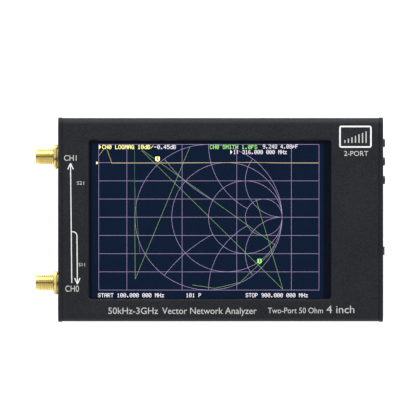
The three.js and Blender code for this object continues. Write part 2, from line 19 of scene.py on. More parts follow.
import bmesh
import bpy
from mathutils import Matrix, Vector

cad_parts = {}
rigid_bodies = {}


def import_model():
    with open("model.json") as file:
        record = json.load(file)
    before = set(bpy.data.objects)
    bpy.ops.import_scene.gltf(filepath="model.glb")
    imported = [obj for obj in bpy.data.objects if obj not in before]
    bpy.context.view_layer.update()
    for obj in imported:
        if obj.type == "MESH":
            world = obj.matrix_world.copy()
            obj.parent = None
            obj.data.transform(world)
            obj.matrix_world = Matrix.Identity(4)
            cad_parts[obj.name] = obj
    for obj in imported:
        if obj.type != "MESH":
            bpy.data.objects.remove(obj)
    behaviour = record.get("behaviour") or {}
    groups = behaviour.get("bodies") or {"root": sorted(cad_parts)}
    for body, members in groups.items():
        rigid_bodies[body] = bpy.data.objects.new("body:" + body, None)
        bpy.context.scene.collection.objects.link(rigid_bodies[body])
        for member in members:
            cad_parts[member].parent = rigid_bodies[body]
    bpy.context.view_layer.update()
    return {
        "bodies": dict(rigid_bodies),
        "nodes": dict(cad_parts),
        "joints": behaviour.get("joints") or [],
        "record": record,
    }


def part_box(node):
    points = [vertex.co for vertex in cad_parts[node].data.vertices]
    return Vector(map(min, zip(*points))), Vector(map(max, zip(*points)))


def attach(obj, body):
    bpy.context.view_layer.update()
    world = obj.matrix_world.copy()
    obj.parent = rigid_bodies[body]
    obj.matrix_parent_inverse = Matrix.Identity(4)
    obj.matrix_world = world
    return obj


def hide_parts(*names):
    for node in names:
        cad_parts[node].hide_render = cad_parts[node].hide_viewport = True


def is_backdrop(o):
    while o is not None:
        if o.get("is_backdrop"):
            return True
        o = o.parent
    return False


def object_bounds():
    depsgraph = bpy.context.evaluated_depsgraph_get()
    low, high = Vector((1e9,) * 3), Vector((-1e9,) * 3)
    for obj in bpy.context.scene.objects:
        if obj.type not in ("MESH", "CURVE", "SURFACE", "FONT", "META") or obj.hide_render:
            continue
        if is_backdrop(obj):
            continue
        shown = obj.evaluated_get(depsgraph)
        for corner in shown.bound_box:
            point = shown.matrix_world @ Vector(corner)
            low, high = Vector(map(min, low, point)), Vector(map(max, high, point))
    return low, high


LOG = logging.getLogger("analyzer")

Span = tuple[float, float]
Point = tuple[float, float]
Colour = tuple[float, float, float]
Piece = bpy.types.Object
Test = Callable[[Vector, Vector], bool]
Socket = int | str
Settings = Mapping[Socket, Any] | None

MM = 0.001
CLOSE = 0.01
MERGE_GAP = MM / 1000
OVERCUT = 1.0
CASE_BODY = "case"


# ---- Bench tools ----


class Kind(Enum):
    """What a choice in edit mode is made of."""

    EDGE = "EDGE"
    FACE = "FACE"


class Joinery(Enum):
    """How one solid works on another."""

    CUT = "DIFFERENCE"
    KEEP_SHARED = "INTERSECT"
    WELD = "UNION"


def metres(*lengths: float) -> tuple[float, ...]:
    """Turns millimetres into metres."""
    return tuple(length * MM for length in lengths)


def spans(node: str) -> tuple[Span, Span, Span]:
    """Reads a CAD node's box from the frame.

    Args:
        node: The node's name.

    Returns:
        Its lowest and highest X, Y and Z, in millimetres.
    """
    low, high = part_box(node)
    x, y, z = ((a / MM, b / MM) for a, b in zip(low, high))
    return x, y, z


def middle(span: Span) -> float:
    """The middle of a span."""
    return (span[0] + span[1]) / 2


def axis_of(node: str) -> Point:
    """Y and Z of a CAD node's middle."""
    _, y, z = spans(node)
    return middle(y), middle(z)


def grown(span: Span, margin: float) -> Span:
    """A span with a margin added at both ends."""
    return span[0] - margin, span[1] + margin


def about(centre: float, width: float) -> Span:
    """A span of a width about its centre."""
    return centre - width / 2, centre + width / 2


def pick(*pieces: Piece) -> None:
    """Selects these pieces and no others, the first one active."""
    if bpy.context.mode != "OBJECT":
        bpy.ops.object.mode_set(mode="OBJECT")
    bpy.ops.object.select_all(action="DESELECT")
    for piece in pieces:
        piece.select_set(True)
    if pieces:
        bpy.context.view_layer.objects.active = pieces[0]


def settle(name: str, shift: Sequence[float] = (0, 0, 0), turn: Sequence[float] = (0, 0, 0)) -> Piece:
    """Names the active object, moves it and puts its place into its mesh.

    Args:
        name: The piece's name.
        shift: How far it moves, in millimetres.
        turn: Its turn about X, Y and Z, in radians.

    Returns:
        The piece, at the origin.
    """
    piece = bpy.context.active_object
    piece.name = piece.data.name = name
    bpy.ops.object.transform_apply(location=True, rotation=True, scale=True)
    piece.location = metres(*shift)
    piece.rotation_euler = turn
    bpy.ops.object.transform_apply(location=True, rotation=True, scale=True)
    return piece


@contextmanager
def editing(piece: Piece, whole: bool = False) -> Iterator[None]:
    """Opens a piece in edit mode with nothing or everything selected, and closes it again."""
    pick(piece)
    bpy.ops.object.mode_set(mode="EDIT")
    bpy.ops.mesh.select_mode(type="VERT")
    bpy.ops.mesh.select_all(action="SELECT" if whole else "DESELECT")
    yield
    bpy.ops.object.mode_set(mode="OBJECT")


def choose(piece: Piece, kind: Kind, test: Test) -> None:
    """Selects the edges or faces of a piece in edit mode that pass a test.

    Args:
        piece: The piece.
        kind: Whether edges or faces are tried.
        test: Is given the middle, in millimetres, and the edge's direction or the face's normal.
    """
    bpy.ops.mesh.select_mode(type=kind.value)
    bpy.ops.mesh.select_all(action="DESELECT")
    mesh = bmesh.from_edit_mesh(piece.data)
    if kind is Kind.EDGE:
        for edge in mesh.edges:
            start, end = (vert.co for vert in edge.verts)
            if test((start + end) / (2 * MM), (end - start).normalized()):
                edge.select_set(True)
    else:
        for face in mesh.faces:
            if test(face.calc_center_bounds() / MM, face.normal):
                face.select_set(True)
    bmesh.update_edit_mesh(piece.data)


def bevel(piece: Piece, width: float, segments: int, test: Test) -> None:
    """Rounds or chamfers the edges that pass a test."""
    with editing(piece):
        choose(piece, Kind.EDGE, test)
        bpy.ops.mesh.bevel(offset=width * MM, segments=segments, affect="EDGES")


def modify(piece: Piece, kind: str, **settings: Any) -> None:
    """Adds a modifier with its settings and applies it."""
    pick(piece)
    bpy.ops.object.modifier_add(type=kind)
    modifier = piece.modifiers[-1]
    for name, value in settings.items():
        setattr(modifier, name, value)
    bpy.ops.object.modifier_apply(modifier=modifier.name)


def work(piece: Piece, *tools: Piece, how: Joinery = Joinery.CUT) -> Piece:
    """Cuts, shares or welds solids with a piece, then clears the tools away.

    Args:
        piece: The solid that stays.
        tools: The solids that work on it.
        how: What they do.

    Returns:
        The piece.
    """
    for tool in tools:
        modify(piece, "BOOLEAN", operation=how.value, solver="EXACT", object=tool)
        bpy.data.objects.remove(tool)
    return piece


def duplicate(piece: Piece, name: str, shift: Sequence[float], half_turn: bool = False) -> Piece:
    """Copies a piece with its own mesh, turned about the Z axis or not, and moves it."""
    pick(piece)
    bpy.ops.object.duplicate(linked=False)
    return settle(name, shift, (0, 0, math.pi if half_turn else 0))


def cuboid(name: str, x: Span, y: Span, z: Span) -> Piece:
    """A block that fills three spans."""
    pick()
    bpy.ops.mesh.primitive_cube_add(
        size=1,
        location=metres(middle(x), middle(y), middle(z)),
        scale=metres(x[1] - x[0], y[1] - y[0], z[1] - z[0]),
    )
    return settle(name)


def along_x(_middle: Vector, way: Vector) -> bool:
    """Whether an edge runs along X."""
    return abs(way.x) > 0.999


def along_z(_middle: Vector, way: Vector) -> bool:
    """Whether an edge runs along Z."""
    return abs(way.z) > 0.999


def bar(name: str, x: Span, y: Span, z: Span, radius: float, segments: int = 10) -> Piece:
    """A block whose four edges along X are rounded."""
    piece = cuboid(name, x, y, z)
    bevel(piece, radius, segments, along_x)
    return piece


def rod(name: str, x: Span, radius: float, y: float, z: float, sides: int = 48) -> Piece:
    """A round bar along X."""
    pick()
    bpy.ops.mesh.primitive_cylinder_add(
        vertices=sides,
        radius=radius * MM,
        depth=(x[1] - x[0]) * MM,
        location=metres(middle(x), 0, 0),
        rotation=(0, math.pi / 2, 0),
    )
    return settle(name, (0, y, z))


def strung(name: str, chains: Sequence[Sequence[Sequence[float]]]) -> Piece:
    """Strings edges through points.

    Args:
        name: The piece's name.
        chains: Each chain's points; a chain that ends where it starts is closed.

    Returns:
        The edges, as one mesh.
    """
    pick()
    bpy.ops.mesh.primitive_plane_add(size=MM)
    piece = settle(name)
    with editing(piece, whole=True):
        bpy.ops.mesh.delete(type="VERT")
        for chain in chains:
            bpy.ops.mesh.select_all(action="DESELECT")
            bpy.ops.mesh.primitive_plane_add(size=MM, location=metres(*chain[0]))
            bpy.ops.mesh.merge(type="CENTER")
            for start, end in pairwise(chain):
                step = metres(*(b - a for a, b in zip(start, end)))
                bpy.ops.mesh.extrude_vertices_move(TRANSFORM_OT_translate={"value": step})
            if chain[0] == chain[-1]:
                bpy.ops.mesh.select_linked()
                bpy.ops.mesh.remove_doubles(threshold=MERGE_GAP)
    return piece


def turned(name: str, outline: Sequence[Point], y: float = 0, z: float = 0, steps: int = 48) -> Piece:
    """Turns an outline about a line along X, as on a lathe.

    Args:
        name: The piece's name.
        outline: Points as (x, radius), from axis to axis, or closed where the first is repeated last.
        y: The line's Y.
        z: The line's Z.
        steps: Facets round the line.

    Returns:
        The closed solid.
    """
    piece = strung(name, [[(x, 0, radius) for x, radius in outline]])
    with editing(piece, whole=True):
        bpy.ops.mesh.spin(steps=steps, angle=2 * math.pi, center=(0, 0, 0), axis=(1, 0, 0))
        bpy.ops.mesh.select_all(action="SELECT")
        bpy.ops.mesh.remove_doubles(threshold=MERGE_GAP)
        bpy.ops.mesh.normals_make_consistent(inside=False)
    pick(piece)
    return settle(name, (0, y, z))


# ---- Paint ----


class Wire:
    """A shader node's output, with the arithmetic that turns patterns into masks."""

    def __init__(self, bench: PaintBench, socket: bpy.types.NodeSocket) -> None:
        """Keeps the socket and the bench that its node stands on."""
        self.bench = bench
        self.socket = socket

    def _maths(self, operation: str, first: Wire | float, second: Wire | float) -> Wire:
        """Adds a Math node."""
        return self.bench.node("Math", {"operation": operation}, {0: first, 1: second})

    def __add__(self, other: Wire | float) -> Wire:
        """Self plus other."""
        return self._maths("ADD", self, other)

    def __sub__(self, other: Wire | float) -> Wire:
        """Self minus other."""
        return self._maths("SUBTRACT", self, other)

    def __mul__(self, other: Wire | float) -> Wire:
        """Self times other."""
        return self._maths("MULTIPLY", self, other)

    def sine(self) -> Wire:
        """The sine of self, in radians."""
        return self._maths("SINE", self, 0.0)


class PaintBench:
    """The node tree of a material or of the sky, cleared for new nodes."""

    def __init__(self, owner: bpy.types.Material | bpy.types.World) -> None:
        """Takes over the owner's node tree."""
        owner.use_nodes = True
        self.tree = owner.node_tree
        self.tree.nodes.clear()

    def node(self, kind: str, settings: Settings = None, inputs: Settings = None, output: Socket = 0) -> Wire:
        """Adds a node.

        Args:
            kind: Its type, without the leading ShaderNode.
            settings: Its own settings, set first; "stops" are a colour ramp's (position, grey).
            inputs: Values or wires, by socket name or number.
            output: Which output is wanted.

        Returns:
            That output.
        """
        node = self.tree.nodes.new(f"ShaderNode{kind}")
        for name, value in (settings or {}).items():
            if name != "stops":
                setattr(node, name, value)
                continue
            elements = node.color_ramp.elements
            while len(elements) < len(value):
                elements.new(1.0)
            for element, (position, grey) in zip(elements, value):
                element.position = position
                element.color = (grey, grey, grey, 1)
        for name, value in (inputs or {}).items():
            if isinstance(value, Wire):
                self.tree.links.new(value.socket, node.inputs[name])
            else:
                node.inputs[name].default_value = value
        return Wire(self, node.outputs[output] if node.outputs else None)

    def place(self, stretch: Sequence[float] = (1, 1, 1)) -> Wire:
        """Object coordinates, multiplied along each axis."""
        here = self.node("TexCoord", output="Object")
        return self.node("Mapping", None, {"Vector": here, "Scale": tuple(stretch)})

    def noise(self, place: Wire, size: float, detail: float = 2.0, distortion: float = 0.0) -> Wire:
        """Noise from 0 to 1 whose lumps are about a size across, in millimetres."""
        inputs = {"Vector": place, "Scale": 1 / (size * MM), "Detail": detail, "Distortion": distortion}
        return self.node("TexNoise", None, inputs)

    def blend(self, amount: Wire | float, first: Colour, second: Colour) -> Wire:
        """Mixes two colours."""
        settings = {"data_type": "RGBA", "clamp_factor": True}
        return self.node("Mix", settings, {0: amount, 6: (*first, 1), 7: (*second, 1)}, 2)


class Grain(Enum):
    """How a surface varies: stretch along X, Y and Z, noise detail and distortion."""

    BLASTED = ((1, 1, 1), 2, 0)
    TURNED = ((1, 0.02, 0.02), 3, 0)
    BRUSHED = ((0.03, 1, 1), 3, 0)
    MOULDED = ((1, 1, 1), 1, 0.4)
    SMUDGED = ((0.5, 1, 0.5), 4, 1.6)
    CRINKLED = ((1, 1, 1), 5, 1.2)
    WOVEN = ((1, 1, 1), 0, 0)
    FOAMED = ((1, 1, 1), 0, 0)


@dataclass(frozen=True)
class Finish:
    """A surface that light falls on; its slot in the record has its own name unless another is given."""

    name: str
    colour: Colour
    shade: Colour
    roughness: float
    grain: Grain
    grain_size: float
    relief: float = 0.0
    spread: float = 0.1
    contrast: float = 0.5
    metallic: float = 0.0
    specular: float = 0.5
    coat: float = 0.0
    alpha: float = 1.0
    drift_size: float = 14.0
    glow: Colour = (0, 0, 0)
    other_slot: str | None = None

    @property
    def slot(self) -> str:
        """The slot that it fills, or nothing."""
        return self.name if self.other_slot is None else self.other_slot

    def _pattern(self, bench: PaintBench) -> Wire:
        """The fine pattern, from 0 to 1."""
        stretch, detail, distortion = self.grain.value
        place = bench.place(stretch)
        if self.grain is Grain.WOVEN:
            parts = bench.node("SeparateXYZ", None, {0: place})
            across = Wire(bench, parts.socket.node.outputs[1])
            turns = 2 * math.pi / (self.grain_size * MM)
            return (parts * turns).sine() * (across * turns).sine() * 0.5 + 0.5
        if self.grain is Grain.FOAMED:
            return bench.node("TexVoronoi", None, {"Vector": place, "Scale": 1 / (self.grain_size * MM)})
        return bench.noise(place, self.grain_size, detail, distortion)

    def _shade_amount(self, fine: Wire, drift: Wire) -> Wire:
        """How far the colour goes from the first one to the second."""
        return (fine - 0.5) * self.contrast + (drift - 0.5) * DRIFT_CONTRAST + 0.5

    def material(self) -> bpy.types.Material:
        """Mixes the finish, or fetches it where it is mixed already."""
        name = f"{self.name}_finish"
        if name in bpy.data.materials:
            return bpy.data.materials[name]
        material = bpy.data.materials.new(name)
        bench = PaintBench(material)
        fine = self._pattern(bench)
        drift = bench.noise(bench.place(), self.drift_size, 3)
        inputs = {
            "Base Color": bench.blend(self._shade_amount(fine, drift), self.colour, self.shade),
            "Roughness": (fine - 0.5) * self.spread + (drift - 0.5) * self.spread + self.roughness,
            "Metallic": self.metallic,
            "Specular IOR Level": self.specular,
            "Coat Weight": self.coat,
            "Alpha": self.alpha,
        }
        if self.relief:
            heights = {"Height": fine, "Distance": self.relief * MM, "Strength": 1.0}
            inputs["Normal"] = bench.node("Bump", None, heights)
        if any(self.glow):
            dim = tuple(part * GLOW_LOW for part in self.glow)
            inputs["Emission Color"] = bench.blend(drift, dim, self.glow)
            inputs["Emission Strength"] = 1.0
        shader = bench.node("BsdfPrincipled", None, inputs)
        bench.node("OutputMaterial", None, {"Surface": shader})
        return material


def screen_light(red: int, green: int, blue: int) -> Colour:
    """Linear light that reads as an eight-bit colour once it has come through the touch pane."""
    passed = (1 - PANE_ALPHA) ** 2
    parts = (value / 255 for value in (red, green, blue))
    red, green, blue = (
        (part / 12.92 if part <= 0.04045 else ((part + 0.055) / 1.055) ** 2.4) / passed for part in parts
    )
    return red, green, blue


def lit(name: str, red: int, green: int, blue: int, boost: float = 1.0) -> Finish:
    """A finish for what the display draws in one colour, brightened for strokes thinner than its dots."""
    glow = tuple(part * boost for part in screen_light(red, green, blue))
    look = ((0, 0, 0), (0.01, 0.01, 0.01), 0.6, Grain.MOULDED, 0.35)
    return Finish(name, *look, specular=0.1, glow=glow, other_slot="display_glass")


PANE_ALPHA = 0.14
DRIFT_CONTRAST = 0.9
GLOW_LOW = 0.86

BLACK = ((0.011, 0.0122, 0.015), (0.02, 0.0218, 0.0262))
CASE_BLACK = Finish("case_black", *BLACK, 0.5, Grain.BLASTED, 0.65, relief=0.02, contrast=3.0, specular=0.16)
STEEL = ((0.04, 0.04, 0.042), (0.075, 0.072, 0.07))
SCREW_BLACK = Finish("screw_black", *STEEL, 0.36, Grain.TURNED, 0.1, relief=0.004, metallic=0.85)
GOLD = ((0.82, 0.68, 0.28), (0.69, 0.55, 0.17))
GOLD_LOOK = {"relief": 0.003, "metallic": 1.0, "drift_size": 2.5}
GOLD_PLATE = Finish("gold_plate", *GOLD, 0.2, Grain.TURNED, 0.12, **GOLD_LOOK)
IVORY = ((0.82, 0.80, 0.74), (0.72, 0.69, 0.61))
JACK_INSULATOR = Finish("jack_insulator", *IVORY, 0.42, Grain.MOULDED, 0.3, relief=0.01)
FILM = ((0.003, 0.004, 0.006), (0.006, 0.007, 0.009))
TOUCH_FILM = Finish("touch_film", *FILM, 0.08, Grain.SMUDGED, 9.0, specular=0.3, alpha=PANE_ALPHA)
DARK_GLASS = ((0.001, 0.001, 0.002), (0.001, 0.002, 0.003))
GLASS_LOOK = {"specular": 0.08, "glow": screen_light(8, 14, 26), "other_slot": "display_glass"}
DISPLAY_EDGE = Finish("display_edge", *DARK_GLASS, 0.3, Grain.SMUDGED, 6.0, **GLASS_LOOK)
DISPLAY_GROUND = replace(DISPLAY_EDGE, name="display_ground", glow=screen_light(12, 27, 50))
TIN = ((0.60, 0.61, 0.62), (0.45, 0.46, 0.47))
TIN_PLATE = Finish("tin_plate", *TIN, 0.34, Grain.BRUSHED, 0.15, relief=0.004, metallic=1.0)
BRIGHT = ((0.56, 0.56, 0.57), (0.42, 0.42, 0.43))
STAINLESS = Finish("stainless", *BRIGHT, 0.28, Grain.BRUSHED, 0.12, relief=0.004, metallic=1.0)
CHARCOAL = ((0.018, 0.018, 0.019), (0.032, 0.032, 0.033))
CHIP_RESIN = Finish("chip_resin", *CHARCOAL, 0.6, Grain.MOULDED, 0.08, relief=0.008)
RUBBER = ((0.012, 0.012, 0.013), (0.020, 0.020, 0.021))
BUTTON_BLACK = Finish("button_black", *RUBBER, 0.42, Grain.MOULDED, 0.1, relief=0.006, specular=0.4)
CLOUDED = ((0.30, 0.33, 0.32), (0.22, 0.25, 0.24))
LIGHT_PIPE_CLEAR = Finish("light_pipe_clear", *CLOUDED, 0.25, Grain.SMUDGED, 1.0, coat=0.3)
RED = ((0.50, 0.015, 0.012), (0.38, 0.010, 0.010))
LEAD_RED = Finish("lead_red", *RED, 0.42, Grain.MOULDED, 0.4, relief=0.01)
INK = ((0.92, 0.92, 0.91), (0.82, 0.82, 0.81))
INK_LOOK = {"relief": 0.004, "specular": 0.3, "other_slot": ""}
PRINT_WHITE = Finish("print_white", *INK, 0.55, Grain.BLASTED, 0.12, **INK_LOOK)
PRINT_GREY = replace(PRINT_WHITE, name="print_grey", colour=(0.62, 0.61, 0.60), shade=(0.52, 0.51, 0.50))

GRID_LIGHT = lit("grid_light", 180, 160, 206, 1.3)
TRACE_YELLOW = lit("trace_yellow", 232, 208, 86, 1.3)
TRACE_GREEN = lit("trace_green", 134, 178, 106, 1.4)
TRACE_DIM = lit("trace_dim", 86, 122, 92, 1.4)
TEXT_YELLOW = lit("text_yellow", 255, 250, 150, 1.8)
TEXT_GREEN = lit("text_green", 140, 215, 105, 1.8)
TEXT_WHITE = lit("text_white", 245, 238, 245, 1.35)

SOOT = ((0.01, 0.01, 0.011), (0.02, 0.02, 0.021))
GREEN = ((0.01, 0.09, 0.03), (0.02, 0.14, 0.05))
FOIL = ((0.55, 0.56, 0.58), (0.4, 0.41, 0.43))
INNER_FINISHES = (
    Finish("foam_black", *SOOT, 0.9, Grain.FOAMED, 0.3, relief=0.05, specular=0.2),
    Finish("amber_film", (0.42, 0.17, 0.03), (0.3, 0.1, 0.015), 0.3, Grain.SMUDGED, 1.2, coat=0.3),
    Finish("connector_resin", (0.8, 0.78, 0.7), (0.7, 0.67, 0.58), 0.5, Grain.MOULDED, 0.2, relief=0.01),
    Finish("board_green", *GREEN, 0.38, Grain.WOVEN, 0.9, relief=0.006, coat=0.4),
    Finish("ferrite", (0.06, 0.06, 0.065), (0.1, 0.098, 0.096), 0.65, Grain.BLASTED, 0.12, relief=0.02),
    Finish("battery_foil", *FOIL, 0.32, Grain.CRINKLED, 5.0, relief=0.08, metallic=0.8),
    replace(LEAD_RED, name="lead_black", colour=(0.012, 0.012, 0.012), shade=(0.022, 0.022, 0.022)),
)
METALS = (CASE_BLACK, SCREW_BLACK, GOLD_PLATE, TIN_PLATE, STAINLESS)
PLASTICS = (JACK_INSULATOR, TOUCH_FILM, DISPLAY_GROUND, CHIP_RESIN, BUTTON_BLACK, LIGHT_PIPE_CLEAR, LEAD_RED)
BY_SLOT = {finish.slot: finish for finish in (*INNER_FINISHES, *METALS, *PLASTICS)}


def hand_over(
    piece: Piece, finish: Finish, *nodes: str, body: str = CASE_BODY, angle: float = 30.0, level: bool = False
) -> Piece:
    """Shades and dresses a finished piece, and hands it to the frame.

    Args:
        piece: The piece, in place.
        finish: Its finish, used unless it is dressed already.
        nodes: The CAD nodes that it stands for.
        body: The CAD body that it moves with.
        angle: Edges sharper than this many degrees stay sharp.
        level: Whether large flats keep their shading up to their rounded edges.

    Returns:
        The piece.
    """
    pick(piece)
    bpy.ops.object.shade_smooth_by_angle(angle=math.radians(angle))
    if level:
        modify(piece, "WEIGHTED_NORMAL", keep_sharp=True, weight=100)
    if not piece.data.materials:
        piece.data.materials.append(finish.material())
    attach(piece, body)
    if nodes:
        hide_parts(*nodes)
    LOG.info("%-26s %6d faces, on %s", piece.name, len(piece.data.polygons), body)
    return piece


# ---- Case ----


@dataclass
class Case:
    """The drawn sleeve with its screen window, the two end plates and their screws."""

    edge_radius: float = 2.5
    plate_rim: float = 0.35
    seam: float = 0.2
    hole_rim: float = 0.1
    window_x: Span = (-47.3, 39.7)
    window_y: Span = (-28.5, 28.5)
    window_corner: float = 1.0
    window_chamfer: float = 1.0
    wall: float = 1.5
    hollow: tuple[tuple[float, float, float], ...] = (
        (30.70, 1.5, 17.5),
        (33.75, 5.6, 10.4),
        (35.15, 7.3, 9.3),
        (35.15, 10.4, 13.1),
    )
    screw_bore: float = 1.05
    jack_hole: float = 3.3
    button_hole: float = 1.75
    light_hole: float = 1.6
    knob_size: Point = (3.0, 2.1)
    gap: float = 0.25
    switch_travel: float = 2.0
    head_radius: float = 2.2
    head_gap: float = 0.1
    head_height: float = 1.2
    shank_radius: float = 0.95
    thread_depth: float = 0.12
    thread_pitch: float = 0.45
    cross: tuple[float, float, float] = (1.05, 0.24, 0.75)

    def screw_places(self, end: str) -> list[tuple[str, float, float]]:
        """Each screw node of an end plate, with the Y and Z of its axis."""
        nodes = [f"{end}_plate_screw_{number}" for number in range(1, 5)]
        return [(node, *axis_of(node)) for node in nodes]

    def build_sleeve(self) -> None:
        """Draws the sleeve, hollows it and opens its window."""
        x, y, z = spans("case_sleeve")
        sleeve = bar("drawn_sleeve", x, y, z, self.edge_radius, 12)
        bevel(sleeve, self.seam, 1, lambda place, _way: min(abs(place.x - end) for end in x) < CLOSE)
        through = grown(x, 5)
        for half, low, high in self.hollow:
            work(sleeve, cuboid("hollow", through, (-half, half), (low, high)))
        for _, screw_y, screw_z in self.screw_places("right"):
            work(sleeve, rod("bore", through, self.screw_bore, screw_y, screw_z, 16))
        window = cuboid("window", self.window_x, self.window_y, (z[1] - 2 * self.wall, z[1] + OVERCUT))
        bevel(window, self.window_corner, 6, along_z)
        work(sleeve, window)

        def on_window_rim(place: Vector, _way: Vector) -> bool:
            """Whether an edge is where the window meets the front face."""
            near = abs(place.z - z[1]) < CLOSE and abs(place.y) < self.window_y[1] + CLOSE
            return near and self.window_x[0] - CLOSE < place.x < self.window_x[1] + CLOSE

        bevel(sleeve, self.window_chamfer, 2, on_window_rim)
        hand_over(sleeve, CASE_BLACK, "case_sleeve", level=True)

    def countersink(self, side: int, y: float, z: float) -> Piece:
        """The cutter for a screw's hole in an end plate."""
        face = spans("right_plate_screw_1")[0][1]
        head, shank = self.head_radius + self.head_gap, self.shank_radius + self.head_gap
        tip, neck, mouth = face - 4, face - self.head_height, face + OVERCUT
        outline = [(tip, 0), (tip, shank), (neck, shank), (face, head), (mouth, head), (mouth, 0)]
        return turned("countersink", [(side * px, radius) for px, radius in outline], y, z, 32)

    def build_plate(self, end: str, side: int, holes: Sequence[Piece]) -> None:
        """Cuts one end plate and its holes.

        Args:
            end: "left" or "right".
            side: -1 for the left plate and 1 for the right one.
            holes: The cutters for what passes through it.
        """
        x, y, z = spans(f"{end}_end_plate")
        plate = bar(f"{end}_plate_finished", x, y, z, self.edge_radius, 12)
        outer = x[0] if side < 0 else x[1]
        bevel(plate, self.plate_rim, 3, lambda place, _way: abs(place.x - outer) < CLOSE)
        inner = x[1] if side < 0 else x[0]
        bevel(plate, self.seam, 1, lambda place, _way: abs(place.x - inner) < CLOSE)
        sinks = [self.countersink(side, sy, sz) for _, sy, sz in self.screw_places(end)]
        work(plate, *sinks, *holes)

        def on_hole_rim(place: Vector, _way: Vector) -> bool:
            """Whether an edge is a hole's rim in the outer face."""
            flat = abs(place.x - outer) < CLOSE
            inside = abs(place.y) < y[1] - 0.6 and z[0] + 0.6 < place.z < z[1] - 0.6
            return flat and inside

        bevel(plate, self.hole_rim, 1, on_hole_rim)
        hand_over(plate, CASE_BLACK, f"{end}_end_plate", level=True)

    def build_screws(self) -> None:
        """Turns one countersunk screw, cuts its cross and thread, and copies it to every hole."""
        (x0, face), _, _ = spans("right_plate_screw_1")
        neck = face - self.head_height
        shank, pitch = self.shank_radius, self.thread_pitch
        crests = [(x0, 0), (x0, shank - 0.2), (x0 + 0.2, shank)]
        for turn in range(int((neck - x0 - 0.6) / pitch)):
            start = x0 + 0.3 + turn * pitch
            crests += [(start + pitch / 2, shank - self.thread_depth), (start + pitch, shank)]
        head = [(neck, shank), (face - 0.06, self.head_radius), (face, self.head_radius - 0.08)]
        screw = turned("screw", [*crests, *head, (face, 0)], steps=32)
        long, slim, depth = self.cross
        for half_y, half_z in ((long, slim), (slim, long)):
            slot = cuboid("slot", (face - depth, face + OVERCUT), (-half_y, half_y), (-half_z, half_z))
            with editing(slot):
                choose(slot, Kind.FACE, lambda _place, way: way.x < -0.9)
                bpy.ops.transform.resize(value=(1, 0.6, 0.6), center_override=metres(face - depth, 0, 0))
            work(screw, slot)
        for end, flip in (("left", True), ("right", False)):
            for node, y, z in self.screw_places(end):
                copy = duplicate(screw, f"{node}_turned", (0, y, z), flip)
                hand_over(copy, SCREW_BLACK, node)
        bpy.data.objects.remove(screw)

    def build(self) -> None:
        """Makes the whole case."""
        self.build_sleeve()
        through = grown(spans("left_end_plate")[0], OVERCUT)
        nuts = ("ch1_jack_nut", "ch0_jack_nut")
        holes = [rod("jack_hole", through, self.jack_hole, *axis_of(nut)) for nut in nuts]
        self.build_plate("left", -1, holes)
        through = grown(spans("right_end_plate")[0], OVERCUT)
        stems = [f"button_{number}_stem" for number in (1, 2, 3)]
        holes = [rod("button_hole", through, self.button_hole, *axis_of(stem)) for stem in stems]
        holes.append(rod("light_hole", through, self.light_hole, *axis_of("charge_light_pipe")))
        _, y, z = spans("usb_c_shell")
        holes.append(bar("mouth", through, grown(y, 0.2), grown(z, 0.2), (z[1] - z[0]) / 2, 12))
        knob_y, knob_z = axis_of("power_switch_knob")
        length, height = self.knob_size
        low, high = grown(about(knob_y, length), self.gap)
        run = (low - self.switch_travel, high)
        holes.append(bar("knob_run", through, run, about(knob_z, height), 0.3, 4))
        self.build_plate("right", 1, holes)
        self.build_screws()


# ---- Jacks ----


